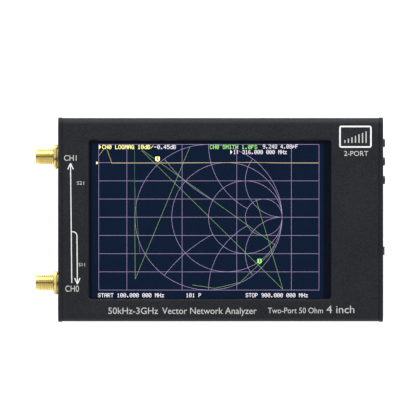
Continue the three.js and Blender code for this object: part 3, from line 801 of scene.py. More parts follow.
@dataclass
class CoaxialJack:
    """A threaded socket for a coaxial plug, with its insulator, contact, washer and nut."""

    lead_radius: float = 2.7
    lead_length: float = 1.2
    lead_taper: float = 0.3
    crest: float = 3.15
    root: float = 2.62
    pitch: float = 0.75
    ridge_flank: float = 0.17
    ridge_flat: float = 0.16
    ridge_sink: float = 0.06
    ridge_lap: float = 0.4
    ridge_trim: float = 0.47
    steps: int = 80
    thread_end: float = -57.2
    mouth_radius: float = 2.3
    mouth_depth: float = 1.9
    bore_radius: float = 2.05
    flange_x: Span = (-56.9, -55.3)
    flange_half: float = 3.2
    leg_end: float = -51.0
    leg_offset: float = 2.6
    leg_size: float = 1.0
    leg_gap: float = 0.1
    across_flats: float = 8.0
    nut_bore: float = 3.23
    contact_radius: float = 0.63
    pin_radius: float = 0.3
    turns: dict[str, float] = field(default_factory=lambda: {"ch1": -12.0, "ch0": 37.0})

    def ridge(self, start: float) -> Piece:
        """The thread: one helical ridge round the X axis, trimmed to the jack's outline."""
        foot, top = self.root - self.ridge_sink, self.crest + 0.02
        rise, fall = start + self.ridge_flank, start + self.ridge_flank + self.ridge_flat
        profile = [(start, 0, foot), (rise, 0, top), (fall, 0, top), (fall + self.ridge_flank, 0, foot)]
        ridge = strung("thread_ridge", [[*profile, profile[0]]])
        winding = {
            "axis": "X",
            "screw_offset": self.pitch * MM,
            "iterations": math.ceil((self.thread_end - start) / self.pitch),
            "steps": 40,
            "render_steps": 40,
            "use_merge_vertices": True,
        }
        modify(ridge, "SCREW", **winding)
        with editing(ridge, whole=True):
            bpy.ops.mesh.fill_holes(sides=0)
            bpy.ops.mesh.normals_make_consistent(inside=False)
        start += self.ridge_trim
        cone = start + self.lead_taper
        end = self.thread_end + 0.05
        hull = [(start, 0), (start, self.lead_radius), (cone, self.crest), (end, self.crest), (end, 0)]
        return work(ridge, turned("trim", hull, steps=self.steps), how=Joinery.KEEP_SHARED)

    def build_body(self) -> Piece:
        """The body on the X axis: barrel, thread, flange and four legs, bored through."""
        (tip, leg_end), _, _ = spans("ch1_jack_body")
        lead = tip + self.lead_length
        barrel_end = self.flange_x[0] + 0.3
        outline = [(tip, 0), (tip, self.lead_radius - 0.15), (tip + 0.15, self.lead_radius)]
        outline += [(lead, self.lead_radius), (lead + 0.1, self.root), (self.thread_end, self.root)]
        outline += [(self.thread_end, self.crest), (barrel_end, self.crest), (barrel_end, 0)]
        barrel = turned("jack_body", outline, steps=self.steps)
        work(barrel, self.ridge(lead - self.ridge_lap), how=Joinery.WELD)
        half = self.flange_half
        flange = bar("flange", self.flange_x, (-half, half), (-half, half), 0.4, 3)
        work(barrel, flange, how=Joinery.WELD)
        low, high = (face - axis_of("ch1_jack_nut")[1] for face in spans("main_board")[2])
        for side in (-1, 1):
            y = about(side * self.leg_offset, self.leg_size)
            above, below = high + self.leg_gap, low - self.leg_gap
            for z in ((above, above + self.leg_size), (below - self.leg_size, below)):
                work(barrel, cuboid("leg", (self.flange_x[1] - 0.5, leg_end), y, z), how=Joinery.WELD)
        shoulder, far = tip + self.mouth_depth, self.flange_x[1] + 0.5
        wide, slim = self.mouth_radius, self.bore_radius
        bore = [(tip - 0.5, 0), (tip - 0.5, wide + 0.62), (tip + 0.12, wide), (shoulder, wide)]
        bore += [(shoulder, slim), (far, slim), (far, 0)]
        return work(barrel, turned("bore", bore, steps=self.steps))

    def build_contact(self) -> Piece:
        """The centre contact on the X axis: a slotted tube that ends in a solder pin."""
        (x0, x1), _, _ = spans("ch1_jack_contact")
        shoulder = self.flange_x[1]
        wide, slim = self.contact_radius, self.pin_radius
        outline = [(x0 + 3, 0), (x0 + 3, 0.46), (x0 + 0.1, 0.46), (x0, 0.53), (x0, 0.57), (x0 + 0.06, wide)]
        outline += [(shoulder, wide), (shoulder, slim), (x1 - 0.1, slim), (x1, slim - 0.1), (x1, 0)]
        contact = turned("jack_contact", outline, steps=32)
        slots = [((-1, 1), (-0.06, 0.06)), ((-0.06, 0.06), (-1, 1))]
        return work(contact, *(cuboid("slot", (x0 - 1, x0 + 2.4), y, z) for y, z in slots))

    def build_washer(self) -> Piece:
        """The washer on the X axis: a flat ring, split as a spring washer is."""
        (x0, x1), y, _ = spans("ch1_jack_washer")
        outer, inner, rim = (y[1] - y[0]) / 2, self.crest + 0.15, 0.08
        outline = [(x0, inner), (x0, outer - rim), (x0 + rim, outer), (x1 - rim, outer)]
        outline += [(x1, outer - rim), (x1, inner), (x0, inner)]
        ring = turned("jack_washer", outline, steps=64)
        return work(ring, cuboid("split", grown((x0, x1), OVERCUT), (-0.2, 0.2), (-outer - 1, -inner + 1)))

    def build_nut(self, turn: float) -> Piece:
        """The nut on the X axis, with its corners turned down and its bore chamfered."""
        (x0, x1), _, _ = spans("ch1_jack_nut")
        corner, flat = self.across_flats / math.sqrt(3), self.across_flats / 2
        nut = rod("jack_nut", (x0, x1), corner, 0, 0, 6)
        pick(nut)
        nut = settle("jack_nut", turn=(turn, 0, 0))
        wide = corner + 0.05
        rounding = [(x0, 0), (x0, flat - 0.3), (x0 + 0.45, wide), (x1 - 0.25, wide)]
        rounding += [(x1, flat + 0.05), (x1, 0)]
        work(nut, turned("rounding", rounding, steps=self.steps), how=Joinery.KEEP_SHARED)
        (low, high), slim, wide = grown((x0, x1), 0.5), self.nut_bore, self.nut_bore + 0.8
        bore = [(low, 0), (low, wide), (x0 + 0.3, slim), (x1 - 0.3, slim), (high, wide), (high, 0)]
        work(nut, turned("bore", bore, steps=self.steps))
        limit = math.radians(40)
        modify(nut, "BEVEL", width=0.05 * MM, segments=2, limit_method="ANGLE", angle_limit=limit)
        return nut

    def build(self) -> None:
        """Makes the inner pieces once and copies them to both jacks; each nut has its own turn."""
        x, y, _ = spans("ch1_jack_dielectric")
        outer = (y[1] - y[0]) / 2
        sleeve = [(x[0], 0.72), (x[0], outer - 0.06), (x[0] + 0.06, outer), (x[1], outer), (x[1], 0.72)]
        models = (
            (self.build_body(), "body", GOLD_PLATE),
            (turned("jack_insulator", [*sleeve, sleeve[0]], steps=48), "dielectric", JACK_INSULATOR),
            (self.build_contact(), "contact", GOLD_PLATE),
            (self.build_washer(), "washer", GOLD_PLATE),
        )
        for jack, turn in self.turns.items():
            shift = (0, *axis_of(f"{jack}_jack_nut"))
            for model, part, finish in models:
                node = f"{jack}_jack_{part}"
                hand_over(duplicate(model, f"{node}_turned", shift), finish, node)
            nut = self.build_nut(math.radians(turn))
            node = f"{jack}_jack_nut"
            pick(nut)
            hand_over(settle(f"{node}_milled", shift), GOLD_PLATE, node)
        for model, _, _ in models:
            bpy.data.objects.remove(model)


# ---- Right end ----


@dataclass
class ButtonEnd:
    """Buttons, power switch knob, charge light and charging socket."""

    button_radius: float = 1.5
    shoulder_radius: float = 1.72
    knob_size: tuple[float, float] = (3.0, 1.6)
    groove: float = 0.22
    shell_wall: float = 0.3
    contacts: int = 8
    contact_pitch: float = 0.75

    def build_buttons(self) -> None:
        """Turns one button with a dished tip, and copies it to its three places."""
        (x0, tip), _, _ = spans("button_1_stem")
        front, radius = x0 + 0.7, self.button_radius
        outline = [(x0, 0), (x0, self.shoulder_radius), (front, self.shoulder_radius), (front, radius)]
        outline += [(tip - 0.3, radius), (tip - 0.12, radius - 0.05), (tip - 0.03, radius - 0.16)]
        outline += [(tip, radius - 0.34), (tip - 0.03, radius - 0.7), (tip - 0.07, 0)]
        model = turned("button", outline, steps=40)
        for number in (1, 2, 3):
            node = f"button_{number}_stem"
            copy = duplicate(model, f"button_{number}_cap", (0, *axis_of(node)))
            hand_over(copy, BUTTON_BLACK, node, body=f"button_{number}")
        bpy.data.objects.remove(model)

    def build_knob(self) -> None:
        """Makes the slide switch's knob, with grooves for a finger nail across its tip."""
        (x0, tip), y, z = spans("power_switch_knob")
        centre_y, centre_z = axis_of("power_switch_knob")
        length, height = self.knob_size
        slider = cuboid("switch_knob", (x0, x0 + 1), y, z)
        knob = cuboid("knob", (x0, tip), about(centre_y, length), about(centre_z, height))
        bevel(knob, 0.15, 2, lambda place, way: abs(way.x) > 0.9 or place.x > tip - CLOSE)
        work(slider, knob, how=Joinery.WELD)
        for step in (-1, 0, 1):
            across = about(centre_y + step * 0.75, self.groove)
            work(slider, cuboid("groove", (tip - 0.2, tip + OVERCUT), across, grown(z, OVERCUT)))
        hand_over(slider, BUTTON_BLACK, "power_switch_knob", body="power_switch")

    def build_light(self) -> None:
        """Turns the charge light's pipe, with a softly domed tip."""
        (x0, tip), _, _ = spans("charge_light_pipe")
        outline = [(x0, 0), (x0, 2), (x0 + 0.5, 2), (x0 + 0.5, 1.5), (tip - 0.2, 1.5)]
        outline += [(tip - 0.09, 1.42), (tip - 0.03, 1.15), (tip, 0.6), (tip, 0)]
        pipe = turned("light_pipe", outline, *axis_of("charge_light_pipe"), 40)
        hand_over(pipe, LIGHT_PIPE_CLEAR, "charge_light_pipe", angle=50)

    def build_socket(self) -> None:
        """Folds the charging socket's shell, and puts contacts on its tongue."""
        x, y, z = spans("usb_c_shell")
        shell = bar("socket_shell", x, y, z, (z[1] - z[0]) / 2 - 0.01, 10)
        inner_y, inner_z = grown(y, -self.shell_wall), grown(z, -self.shell_wall)
        radius = (inner_z[1] - inner_z[0]) / 2 - 0.01
        work(shell, bar("inside", grown(x, OVERCUT), inner_y, inner_z, radius, 10))
        bevel(shell, 0.08, 1, lambda place, _way: place.x > x[1] - CLOSE)
        hand_over(shell, STAINLESS, "usb_c_shell", level=True)
        (x0, x1), _, _ = spans("usb_c_tongue")
        centre_y, centre_z = middle(y), middle(z)
        tongue = bar("socket_tongue", (x0, x0 + 1.3), *(grown(span, -0.4) for span in (y, z)), 1.1, 8)
        blade = cuboid("blade", (x0 + 0.8, x1), about(centre_y, 6.7), about(centre_z, 0.7))
        bevel(blade, 0.15, 2, lambda place, _way: place.x > x1 - CLOSE)
        work(tongue, blade, how=Joinery.WELD)
        hand_over(tongue, CHIP_RESIN, "usb_c_tongue")
        first = centre_y - (self.contacts - 1) / 2 * self.contact_pitch
        pad = cuboid("socket_contacts", (x1 - 2.6, x1 - 0.5), about(first, 0.35), (-0.03, 0.03))
        bevel(pad, 0.02, 1, lambda place, _way: place.z > 0.02)
        step = (0, self.contact_pitch * MM, 0)
        spread = {"use_relative_offset": False, "use_constant_offset": True}
        modify(pad, "ARRAY", count=self.contacts, constant_offset_displace=step, **spread)
        for side, lift in (("upper", 0.35), ("lower", -0.35)):
            hand_over(duplicate(pad, f"socket_contacts_{side}", (0, 0, centre_z + lift)), GOLD_PLATE)
        bpy.data.objects.remove(pad)

    def build(self) -> None:
        """Makes everything on the right end."""
        self.build_buttons()
        self.build_knob()
        self.build_light()
        self.build_socket()


# ---- Strokes and letters ----


@dataclass
class Pen:
    """Draws flat strokes of one width, which lie between two heights."""

    width: float
    z: Span

    def draw(self, name: str, lines: Sequence[Sequence[Point]]) -> Piece:
        """Draws lines through points.

        Args:
            name: The piece's name.
            lines: Each line's points; a line that ends where it starts is closed.

        Returns:
            The strokes, as one mesh.
        """
        pick(strung(name, [[(x, y, 0) for x, y in line] for line in lines]))
        bpy.ops.object.convert(target="CURVE")
        curve = bpy.context.active_object.data
        curve.dimensions = "3D"
        curve.bevel_depth = self.width * MM / 2
        curve.bevel_resolution = 1
        curve.use_fill_caps = True
        bpy.ops.object.convert(target="MESH")
        piece = bpy.context.active_object
        piece.scale.z = (self.z[1] - self.z[0]) / self.width
        return settle(name, (0, 0, middle(self.z)))

    def segments(self, name: str, points: Sequence[Sequence[Point]]) -> Piece:
        """Draws lines with each stretch as a stroke of its own, so that sharp turns stay full."""
        return self.draw(name, [pair for line in points for pair in pairwise(line)])


def arc(centre: Point, radius: float, start: float, end: float, steps: int) -> list[Point]:
    """Points on an arc, its angles in radians."""
    angles = [start + (end - start) * step / steps for step in range(steps + 1)]
    return [(centre[0] + radius * math.cos(a), centre[1] + radius * math.sin(a)) for a in angles]


GLYPHS = {
    "0": ".###. #...# #..## #.#.# ##..# #...# .###.",
    "1": "..#.. .##.. ..#.. ..#.. ..#.. ..#.. .###.",
    "2": ".###. #...# ....# ...#. ..#.. .#... #####",
    "3": ".###. #...# ....# ..##. ....# #...# .###.",
    "4": "...#. ..##. .#.#. #..#. ##### ...#. ...#.",
    "5": "##### #.... ####. ....# ....# #...# .###.",
    "6": ".###. #.... #.... ####. #...# #...# .###.",
    "8": ".###. #...# #...# .###. #...# #...# .###.",
    "9": ".###. #...# #...# .#### ....# ....# .###.",
    "A": ".###. #...# #...# ##### #...# #...# #...#",
    "B": "####. #...# #...# ####. #...# #...# ####.",
    "C": ".###. #...# #.... #.... #.... #...# .###.",
    "F": "##### #.... #.... ####. #.... #.... #....",
    "G": ".###. #...# #.... #.### #...# #...# .####",
    "H": "#...# #...# #...# ##### #...# #...# #...#",
    "I": ".###. ..#.. ..#.. ..#.. ..#.. ..#.. .###.",
    "L": "#.... #.... #.... #.... #.... #.... #####",
    "M": "#...# ##.## #.#.# #.#.# #...# #...# #...#",
    "O": ".###. #...# #...# #...# #...# #...# .###.",
    "P": "####. #...# #...# ####. #.... #.... #....",
    "R": "####. #...# #...# ####. #.#.. #..#. #...#",
    "S": ".###. #...# #.... .###. ....# #...# .###.",
    "T": "##### ..#.. ..#.. ..#.. ..#.. ..#.. ..#..",
    "d": "....# ....# .#### #...# #...# #...# .####",
    "p": "..... ..... ####. #...# ####. #.... #....",
    "z": "..... ..... ##### ...#. ..#.. .#... #####",
    "-": "..... ..... ..... ##### ..... ..... .....",
    ".": "..... ..... ..... ..... ..... .##.. .##..",
    ":": "..... .##.. .##.. ..... .##.. .##.. .....",
    "/": "..... ....# ...#. ..#.. .#... #.... .....",
    " ": "..... ..... ..... ..... ..... ..... .....",
    "ohm": ".###. #...# #...# #...# .#.#. .#.#. ##.##",
    "arrow": "#.... ##... ###.. ####. ###.. ##... #....",
}
MARKER = (
    "######### ####..### ###...### ####..### ####..### ####..### ###....## ######### .#######. ...###..."
)
POINTER = "##.. ###. #### ###. ##.."


def dotted(name: str, rows: Sequence[str], left: float, top: float, cell: Point, z: Span) -> Piece:
    """Lights the marked cells of a grid, as a display does.

    Args:
        name: The piece's name.
        rows: The grid from the top down, with # for a lit cell.
        left: X of the grid's left edge.
        top: Y of its top edge.
        cell: A cell's width and height.
        z: The lit cells' underside and top.

    Returns:
        The lit cells, as one mesh.
    """
    across, down = len(rows[0]), len(rows)
    pick()
    bpy.ops.mesh.primitive_grid_add(x_subdivisions=across, y_subdivisions=down, size=1)
    grid = bpy.context.active_object
    grid.scale = metres(across * cell[0], down * cell[1], 1)
    grid = settle(name, (left + across * cell[0] / 2, top - down * cell[1] / 2, z[0]))

    def unlit(place: Vector, _way: Vector) -> bool:
        """Whether a cell is left dark."""
        return rows[int((top - place.y) / cell[1])][int((place.x - left) / cell[0])] != "#"

    with editing(grid):
        choose(grid, Kind.FACE, unlit)
        bpy.ops.mesh.delete(type="FACE")
    modify(grid, "SOLIDIFY", thickness=(z[1] - z[0]) * MM, offset=1.0)
    return grid


def words(name: str, text: str, x: Span, baseline: float, cap: float, z: Span) -> Piece:
    """Sets printed letters in a box.

    Args:
        name: The piece's name.
        text: What it says.
        x: Where it starts and ends.
        baseline: Y that the letters stand on.
        cap: A capital letter's height.
        z: The print's underside and top.

    Returns:
        The letters, as one mesh.
    """
    pick()
    bpy.ops.object.text_add()
    letters = bpy.context.active_object
    letters.data.body = text
    letters.data.extrude = 0.5
    letters.data.resolution_u = 4
    bpy.ops.object.convert(target="MESH")
    letters = bpy.context.active_object
    corners = [vert.co for vert in letters.data.vertices]
    left, right = min(c.x for c in corners), max(c.x for c in corners)
    top = max(c.y for c in corners)
    wide, tall = (x[1] - x[0]) / (right - left), cap / top
    letters.scale = metres(wide, tall, z[1] - z[0])
    return settle(name, (x[0] - left * wide, baseline, middle(z)))


# ---- Display ----


@dataclass
class Display:
    """The touch pane, the lit display under it and everything that the display draws."""

    lit_left: float = -46.4
    lit_top: float = 27.43
    dot: float = 0.174
    dots: tuple[int, int] = (480, 320)
    grid_left: float = 14.4
    grid_right: float = 470.5
    grid_top: float = 1.9
    division: float = 37.7
    sweep: Span = (100, 900)
    grid_columns: tuple[float, ...] = (14.4, 72.6, 187.0, 300.2, 413.3, 470.5)
    chart_centre: Point = (241.7, 152.6)
    chart_radius: Point = (152.4, 150.8)
    ink: Span = (15.81, 15.90)
    line: float = 0.1
    readout_dot: float = 1.2

    def at(self, dot_x: float, dot_y: float) -> Point:
        """The place of a display dot, counted right and down from the top left corner."""
        return self.lit_left + self.dot * dot_x, self.lit_top - self.dot * dot_y

    def at_level(self, megahertz: float, division: float) -> Point:
        """The place of a point of the level trace."""
        low, high = self.sweep
        along = (megahertz - low) / (high - low)
        x = self.grid_left + along * (self.grid_right - self.grid_left)
        return self.at(x, self.grid_top + self.division * division)

    def at_reflection(self, real: float, imaginary: float) -> Point:
        """The place of a reflection coefficient on the round chart."""
        (x, y), (across, down) = self.chart_centre, self.chart_radius
        return self.at(x + across * real, y - down * imaginary)

    def build_panes(self) -> None:
        """Makes the touch pane and the display with its lit area."""
        x, y, z = spans("touch_panel")
        pane = cuboid("touch_pane", x, y, z)
        bevel(pane, 0.12, 2, lambda _place, _way: True)
        hand_over(pane, TOUCH_FILM, "touch_panel", level=True)
        x, y, z = spans("lcd_cell")
        cell = cuboid("display_pane", x, y, z)
        right, bottom = self.at(*self.dots)
        across, down = (1, 0, 0), (0, 1, 0)
        cuts = ((self.lit_left, across), (right, across), (self.lit_top, down), (bottom, down))
        with editing(cell):
            for place, normal in cuts:
                bpy.ops.mesh.select_all(action="SELECT")
                spot = tuple(place * MM * part for part in normal)
                bpy.ops.mesh.bisect(plane_co=spot, plane_no=normal)
        for finish in (DISPLAY_EDGE, DISPLAY_GROUND):
            cell.data.materials.append(finish.material())
        for face in cell.data.polygons:
            x, y, _ = face.center / MM
            if face.normal.z > 0.9 and self.lit_left < x < right and bottom < y < self.lit_top:
                face.material_index = 1
        hand_over(cell, DISPLAY_GROUND, "lcd_cell")

    def build_grids(self) -> None:
        """Draws the square graticule and the round impedance chart over it."""
        pen = Pen(self.line, self.ink)
        rows = [self.grid_top + division * self.division for division in range(9)]
        lines = [[self.at(self.grid_left, row), self.at(self.grid_right, row)] for row in rows]
        lines += [[self.at(column, rows[0]), self.at(column, rows[-1])] for column in self.grid_columns]
        hand_over(pen.draw("graticule", lines), GRID_LIGHT)
        curves = []
        for share, steps in ((1.0, 96), (0.75, 72), (0.5, 72), (0.25, 72)):
            circle = arc((1 - share, 0), share, 0, 2 * math.pi, steps)
            circle[-1] = circle[0]
            curves.append([self.at_reflection(*point) for point in circle])
        for reactance, last in ((2.0, None), (1.0, 3.0), (0.5, 1.0)):
            curves += self.reactance_arcs(reactance, last)
        hand_over(pen.draw("impedance_chart", curves), GRID_LIGHT)

    def reactance_arcs(self, reactance: float, last: float | None) -> list[list[Point]]:
        """The two arcs of one reactance, from the chart's rim to a resistance or to its end point.

        Args:
            reactance: The reactance, over the chart's own resistance.
            last: The resistance where the arcs end, or None for the chart's right-hand point.

        Returns:
            The upper and the lower arc.
        """
        around = complex(1, 1 / reactance)

        def angle(resistance: float) -> float:
            """Angle about the arc's centre of the point with a resistance."""
            z = complex(resistance, reactance)
            ray = (z - 1) / (z + 1) - around
            return math.atan2(ray.imag, ray.real)

        start = angle(0)
        end = -math.pi / 2 if last is None else angle(last)
        if end < start:
            end += 2 * math.pi
        steps = 24 if abs(end - start) > 1 else 14
        points = arc((around.real, around.imag), 1 / reactance, start, end, steps)
        return [[self.at_reflection(u, v * side) for u, v in points] for side in (1, -1)]

    def build_traces(self) -> None:
        """Draws the level trace and the reflection trace."""
        pen = Pen(self.line, (self.ink[0] + 0.005, self.ink[1] + 0.01))
        level = [(130.5, 0.29), (147.5, 1.03), (300, 1.03), (420, 1.02), (560, 1.0)]
        level += [(640, 0.99), (700, 1.0), (760, 1.03), (900, 1.03)]
        lines = [[self.at_level(*point) for point in line] for line in ([(100, 0.62), (117, 0.29)], level)]
        hand_over(pen.segments("level_trace", lines), TRACE_YELLOW)
        bright = [
            [(-0.996, -0.848), (-0.253, 0.966)],
            [(-0.912, 0.918), (1.011, -0.991), (0.644, 0.253)],
            [(-0.894, 0.918), (0.903, -0.379)],
            [(-0.219, -0.930), (0.087, -0.977), (0.427, -0.896), (0.726, -0.610), (0.862, -0.474)],
            [(0.862, -0.474), (0.903, -0.379)],
            [(-1.002, -0.1), (-0.996, -0.848)],
        ]
        dim = [
            [(-1.006, 0.98), (-1.002, -0.1)],
            [(-1.006, 0.485), (-0.984, 0.129), (-0.932, -0.502)],
            [(-1.006, 0.49), (-0.892, 0.49)],
        ]
        for name, lines, finish in (
            ("reflection_trace", bright, TRACE_GREEN),
            ("reflection_trace_faint", dim, TRACE_DIM),
        ):
            strokes = [[self.at_reflection(*point) for point in line] for line in lines]
            hand_over(pen.segments(name, strokes), finish)

    def build_marks(self) -> None:
        """Lights the two numbered markers and the pointer at the reference level."""
        lift = (self.ink[0] + 0.01, self.ink[1] + 0.03)
        rows = MARKER.split()
        places = (
            ("level_marker", self.at_level(313.5, 0.99), TEXT_YELLOW),
            ("reflection_marker", self.at_reflection(0.693, -0.651), TEXT_GREEN),
        )
        for name, (x, y), finish in places:
            left, top = x - 4.5 * self.dot, y + 12 * self.dot
            hand_over(dotted(name, rows, left, top, (self.dot, self.dot), lift), finish)
        left, top = self.at(self.grid_left - 5.3, self.grid_top + self.division - 1.9)
        mark = dotted("reference_pointer", POINTER.split(), left, top, (self.dot, self.dot), lift)
        hand_over(mark, TEXT_YELLOW)

    def readout(self, name: str, text: Sequence[str], x: float, y: float, pitch: float, ink: Finish) -> None:
        """Writes one readout in display dots.

        Args:
            name: The piece's name.
            text: Its characters, or the names of special ones.
            x: The first dot across.
            y: The first dot down.
            pitch: Dots from one character to the next.
            ink: Its finish.
        """
        shapes = [GLYPHS[sign].split() for sign in text]
        rows = [".".join(shape[row] for shape in shapes) for row in range(7)]
        left, top = self.at(x, y)
        cell = (pitch / 6 * self.dot, self.readout_dot * self.dot)
        hand_over(dotted(name, rows, left, top, cell, self.ink), ink)

    def build_readouts(self) -> None:
        """Writes every readout."""
        foot = 310.0
        self.readout("readout_level", ["arrow", *"CH0 LOGMAG 10dB/"], 15, 3, 6.68, TEXT_YELLOW)
        self.readout("readout_level_value", "-0.45dB", 129, 3, 6.6, TEXT_WHITE)
        self.readout("readout_chart", "CH0 SMITH 1.0FS", 244.5, 3, 6.6, TEXT_GREEN)
        self.readout("readout_load", [*"9.24", "ohm", *" 4.08pF"], 354, 2, 6.13, TEXT_WHITE)
        marker = ["arrow", *"1: 316.000 000 MHz"]
        self.readout("readout_marker", marker, 287, 13.5, 6.2, TEXT_WHITE)
        self.readout("readout_start", "START 100.000 000 MHz", 13, foot, 6.55, TEXT_WHITE)
        self.readout("readout_points", "101 P", 195, foot, 6.5, TEXT_WHITE)
        self.readout("readout_stop", "STOP 900.000 000 MHz", 318.6, foot, 6.5, TEXT_WHITE)

    def build(self) -> None:
        """Makes the whole display."""
        self.build_panes()
        self.build_grids()
        self.build_traces()
        self.build_marks()
        self.build_readouts()


# ---- Print on the case ----


@dataclass
class FacePrint:
    """What is printed on the front: the signal flow, the port names, a badge and a legend."""

    line: float = 0.34
    thickness: float = 0.02
    badge_x: Span = (42.65, 54.35)
    badge_y: Span = (25.85, 33.8)
    bar_line: float = 0.42
    bar_foot: float = 27.6

    def __post_init__(self) -> None:
        """Finds the height of the front face."""
        face = spans("case_sleeve")[2][1]
        self.z = (face - self.thickness, face + self.thickness)

    def build_flow(self) -> None:
        """Draws the signal flow from the lower port to the upper one and back."""
        pen = Pen(self.line, self.z)
        top, foot = (-53.96, 20.3), (-53.53, -22.75)
        back_tip = (-51.51, -23.2)
        branch = [(-53.5, -4.35), (-53.15, -4.35)]
        branch += arc((-53.15, -5.85), 1.5, math.pi / 2, 0, 8)[1:]
        lines = [[foot, top], [*branch, back_tip]]
        barbs = ((top, -1.0, -2.2), (top, 1.0, -2.2), (back_tip, -1.0, 2.2), (back_tip, 0.95, 2.2))
        heads = [[(tip[0] + across, tip[1] + down), tip] for tip, across, down in barbs]
        hand_over(pen.draw("signal_flow", lines), PRINT_WHITE)
        hand_over(pen.draw("signal_flow_heads", heads), PRINT_WHITE)

    def build_names(self) -> None:
        """Sets the port names, the measurement names and the legend."""
        for name, text, x, baseline, cap in (
            ("port_name_upper", "CH1", (-56.3, -51.8), 21.2, 2.0),
            ("port_name_lower", "CH0", (-55.85, -50.95), -25.9, 2.2),
            ("path_name_upper", "S21", (-51.7, -49.1), 12.55, 1.25),
            ("path_name_lower", "S11", (-51.1, -48.8), -16.8, 1.25),
            ("badge_name", "2-PORT", (44.4, 53.1), 22.95, 1.75),
            ("legend_range", "50kHz-3GHz", (-40.4, -22.5), -33.9, 2.3),
            ("legend_kind", "Vector Network Analyzer", (-21.0, 12.95), -33.9, 2.3),
            ("legend_ports", "Two-Port 50 Ohm", (17.0, 36.8), -33.65, 2.0),
            ("legend_size", "4 inch", (38.1, 48.1), -33.6, 2.7),
        ):
            hand_over(words(name, text, x, baseline, cap, self.z), PRINT_GREY)

    def build_badge(self) -> None:
        """Draws a rounded frame with rising bars in it."""
        pick()
        bpy.ops.mesh.primitive_plane_add(size=1)
        frame = bpy.context.active_object
        x, y = self.badge_x, self.badge_y
        frame.scale = metres(x[1] - x[0], y[1] - y[0], 1)
        frame = settle("badge_frame", (middle(x), middle(y), self.z[0]))

        def in_panel(place: Vector, _way: Vector) -> bool:
            """Whether a face is the panel inside the frame."""
            return abs(place.x - middle(x)) < 1 and abs(place.y - middle(y)) < 0.5

        with editing(frame, whole=True):
            bpy.ops.mesh.bevel(offset=0.8 * MM, segments=6, affect="VERTICES")
            choose(frame, Kind.FACE, lambda _place, _way: True)
            bpy.ops.mesh.inset(thickness=0.58 * MM, depth=0)
            choose(frame, Kind.FACE, in_panel)
            bpy.ops.mesh.delete(type="FACE")
        modify(frame, "SOLIDIFY", thickness=2 * self.thickness * MM, offset=1.0)
        hand_over(frame, PRINT_WHITE)
        tops = [(44.7 + step * 1.27, 28.6 + step * 0.52) for step in range(7)]
        bars = [[(bar_x, self.bar_foot), (bar_x, bar_top)] for bar_x, bar_top in tops]
        hand_over(Pen(self.bar_line, self.z).draw("badge_bars", bars), PRINT_GREY)

    def build(self) -> None:
        """Prints everything."""
        self.build_flow()
        self.build_names()
        self.build_badge()


# ---- Frame, studio and run ----


def dress_carried_over(frame: Mapping[str, Any]) -> None:
    """Gives every CAD node the finish of its slot in the record."""
    for part in frame["record"]["subparts"]:
        node = frame["nodes"][part["node"]]
        finish = BY_SLOT[part["material_slot"]]
        node.data.materials.clear()
        node.data.materials.append(finish.material())


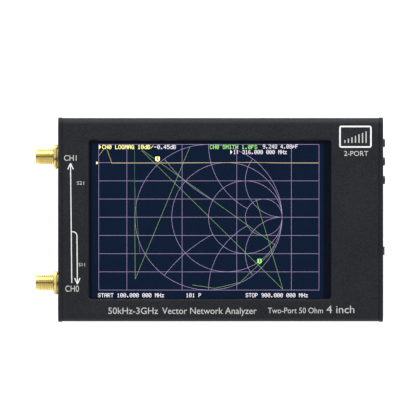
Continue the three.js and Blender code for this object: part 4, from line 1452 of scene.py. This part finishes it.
@dataclass
class Studio:
    """A pale floor, a soft sky, soft lights and the camera."""

    floor_size: float = 8.0
    camera_x: float = -4.53
    camera_y: float = 4.19
    camera_height: float = 1600.0
    view_width: float = 149.6
    sensor: float = 36.0

    def build_floor(self, low: Vector) -> None:
        """Lays the floor just under the object."""
        pick()
        bpy.ops.mesh.primitive_plane_add(size=self.floor_size, location=(0, 0, low.z - 0.05 * MM))
        floor = bpy.context.active_object
        floor.name = "studio_floor"
        pale, paler = (0.74, 0.74, 0.74), (0.76, 0.76, 0.76)
        paint = Finish("studio_floor", paler, pale, 0.8, Grain.SMUDGED, 400, specular=0.1, glow=paler)
        floor.data.materials.append(paint.material())
        floor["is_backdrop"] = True

    def build_sky(self) -> None:
        """Makes the sky: pale at the horizon, and dark only where the camera would hang."""
        world = bpy.data.worlds.new("soft_sky")
        bpy.context.scene.world = world
        bench = PaintBench(world)
        ray = bench.node("TexCoord", output="Generated")
        height = bench.node("SeparateXYZ", None, {0: ray}, 2)
        stops = ((0.0, 1.0), (0.5, 0.95), (0.93, 0.9), (0.97, 0.7), (0.985, 0.08), (1.0, 0.04))
        shade = bench.node("ValToRGB", {"stops": stops}, {0: height})
        light = bench.node("Background", None, {"Color": shade, "Strength": 0.9})
        bench.node("OutputWorld", None, {"Surface": light})

    def add_light(self, name: str, place: Sequence[float], size: Point, radiance: float) -> None:
        """Hangs a soft light that faces the object.

        Args:
            name: The light's name.
            place: Where it hangs, in metres.
            size: Its width and height, in metres.
            radiance: How bright its face is.
        """
        facing = (-Vector(place)).to_track_quat("-Z", "Y").to_euler()
        pick()
        bpy.ops.object.light_add(type="AREA", location=place, rotation=facing)
        light = bpy.context.active_object
        light.name = name
        light.data.shape = "RECTANGLE"
        light.data.size, light.data.size_y = size
        light.data.energy = radiance * math.pi * size[0] * size[1]
        light.visible_camera = False

    def build_camera(self, top: float) -> None:
        """Hangs the camera square over the face."""
        pick()
        height = top + self.camera_height * MM
        bpy.ops.object.camera_add(location=(self.camera_x * MM, self.camera_y * MM, height))
        camera = bpy.context.active_object
        camera.rotation_euler = (0, 0, 0)
        camera.data.sensor_width = self.sensor
        camera.data.lens = self.sensor * self.camera_height / self.view_width
        camera.data.clip_start = 0.05
        camera.data.clip_end = 20
        bpy.context.scene.camera = camera

    def build(self) -> None:
        """Sets up the studio."""
        low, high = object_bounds()
        self.build_floor(low)
        self.build_sky()
        self.add_light("light_top_side", (0.1, 1.15, 0.5), (1.3, 0.5), 1.5)
        self.add_light("light_top_strip", (-0.02, 0.28, 0.15), (0.6, 0.16), 2.6)
        self.add_light("light_low_side", (-0.1, -1.15, 0.5), (1.3, 0.4), 0.3)
        self.add_light("light_jack_end", (-1.2, 0.2, 0.7), (0.6, 0.5), 1.0)
        self.build_camera(high.z)
        bpy.context.scene.view_settings.view_transform = "Standard"


def main() -> None:
    """Builds every sub-assembly round the frame."""
    logging.basicConfig(level=logging.INFO, format="%(message)s")
    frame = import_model()
    dress_carried_over(frame)
    for assembly in (Case(), CoaxialJack(), ButtonEnd(), Display(), FacePrint(), Studio()):
        LOG.info("-- %s", type(assembly).__name__)
        assembly.build()


if __name__ == "__main__":
    main()
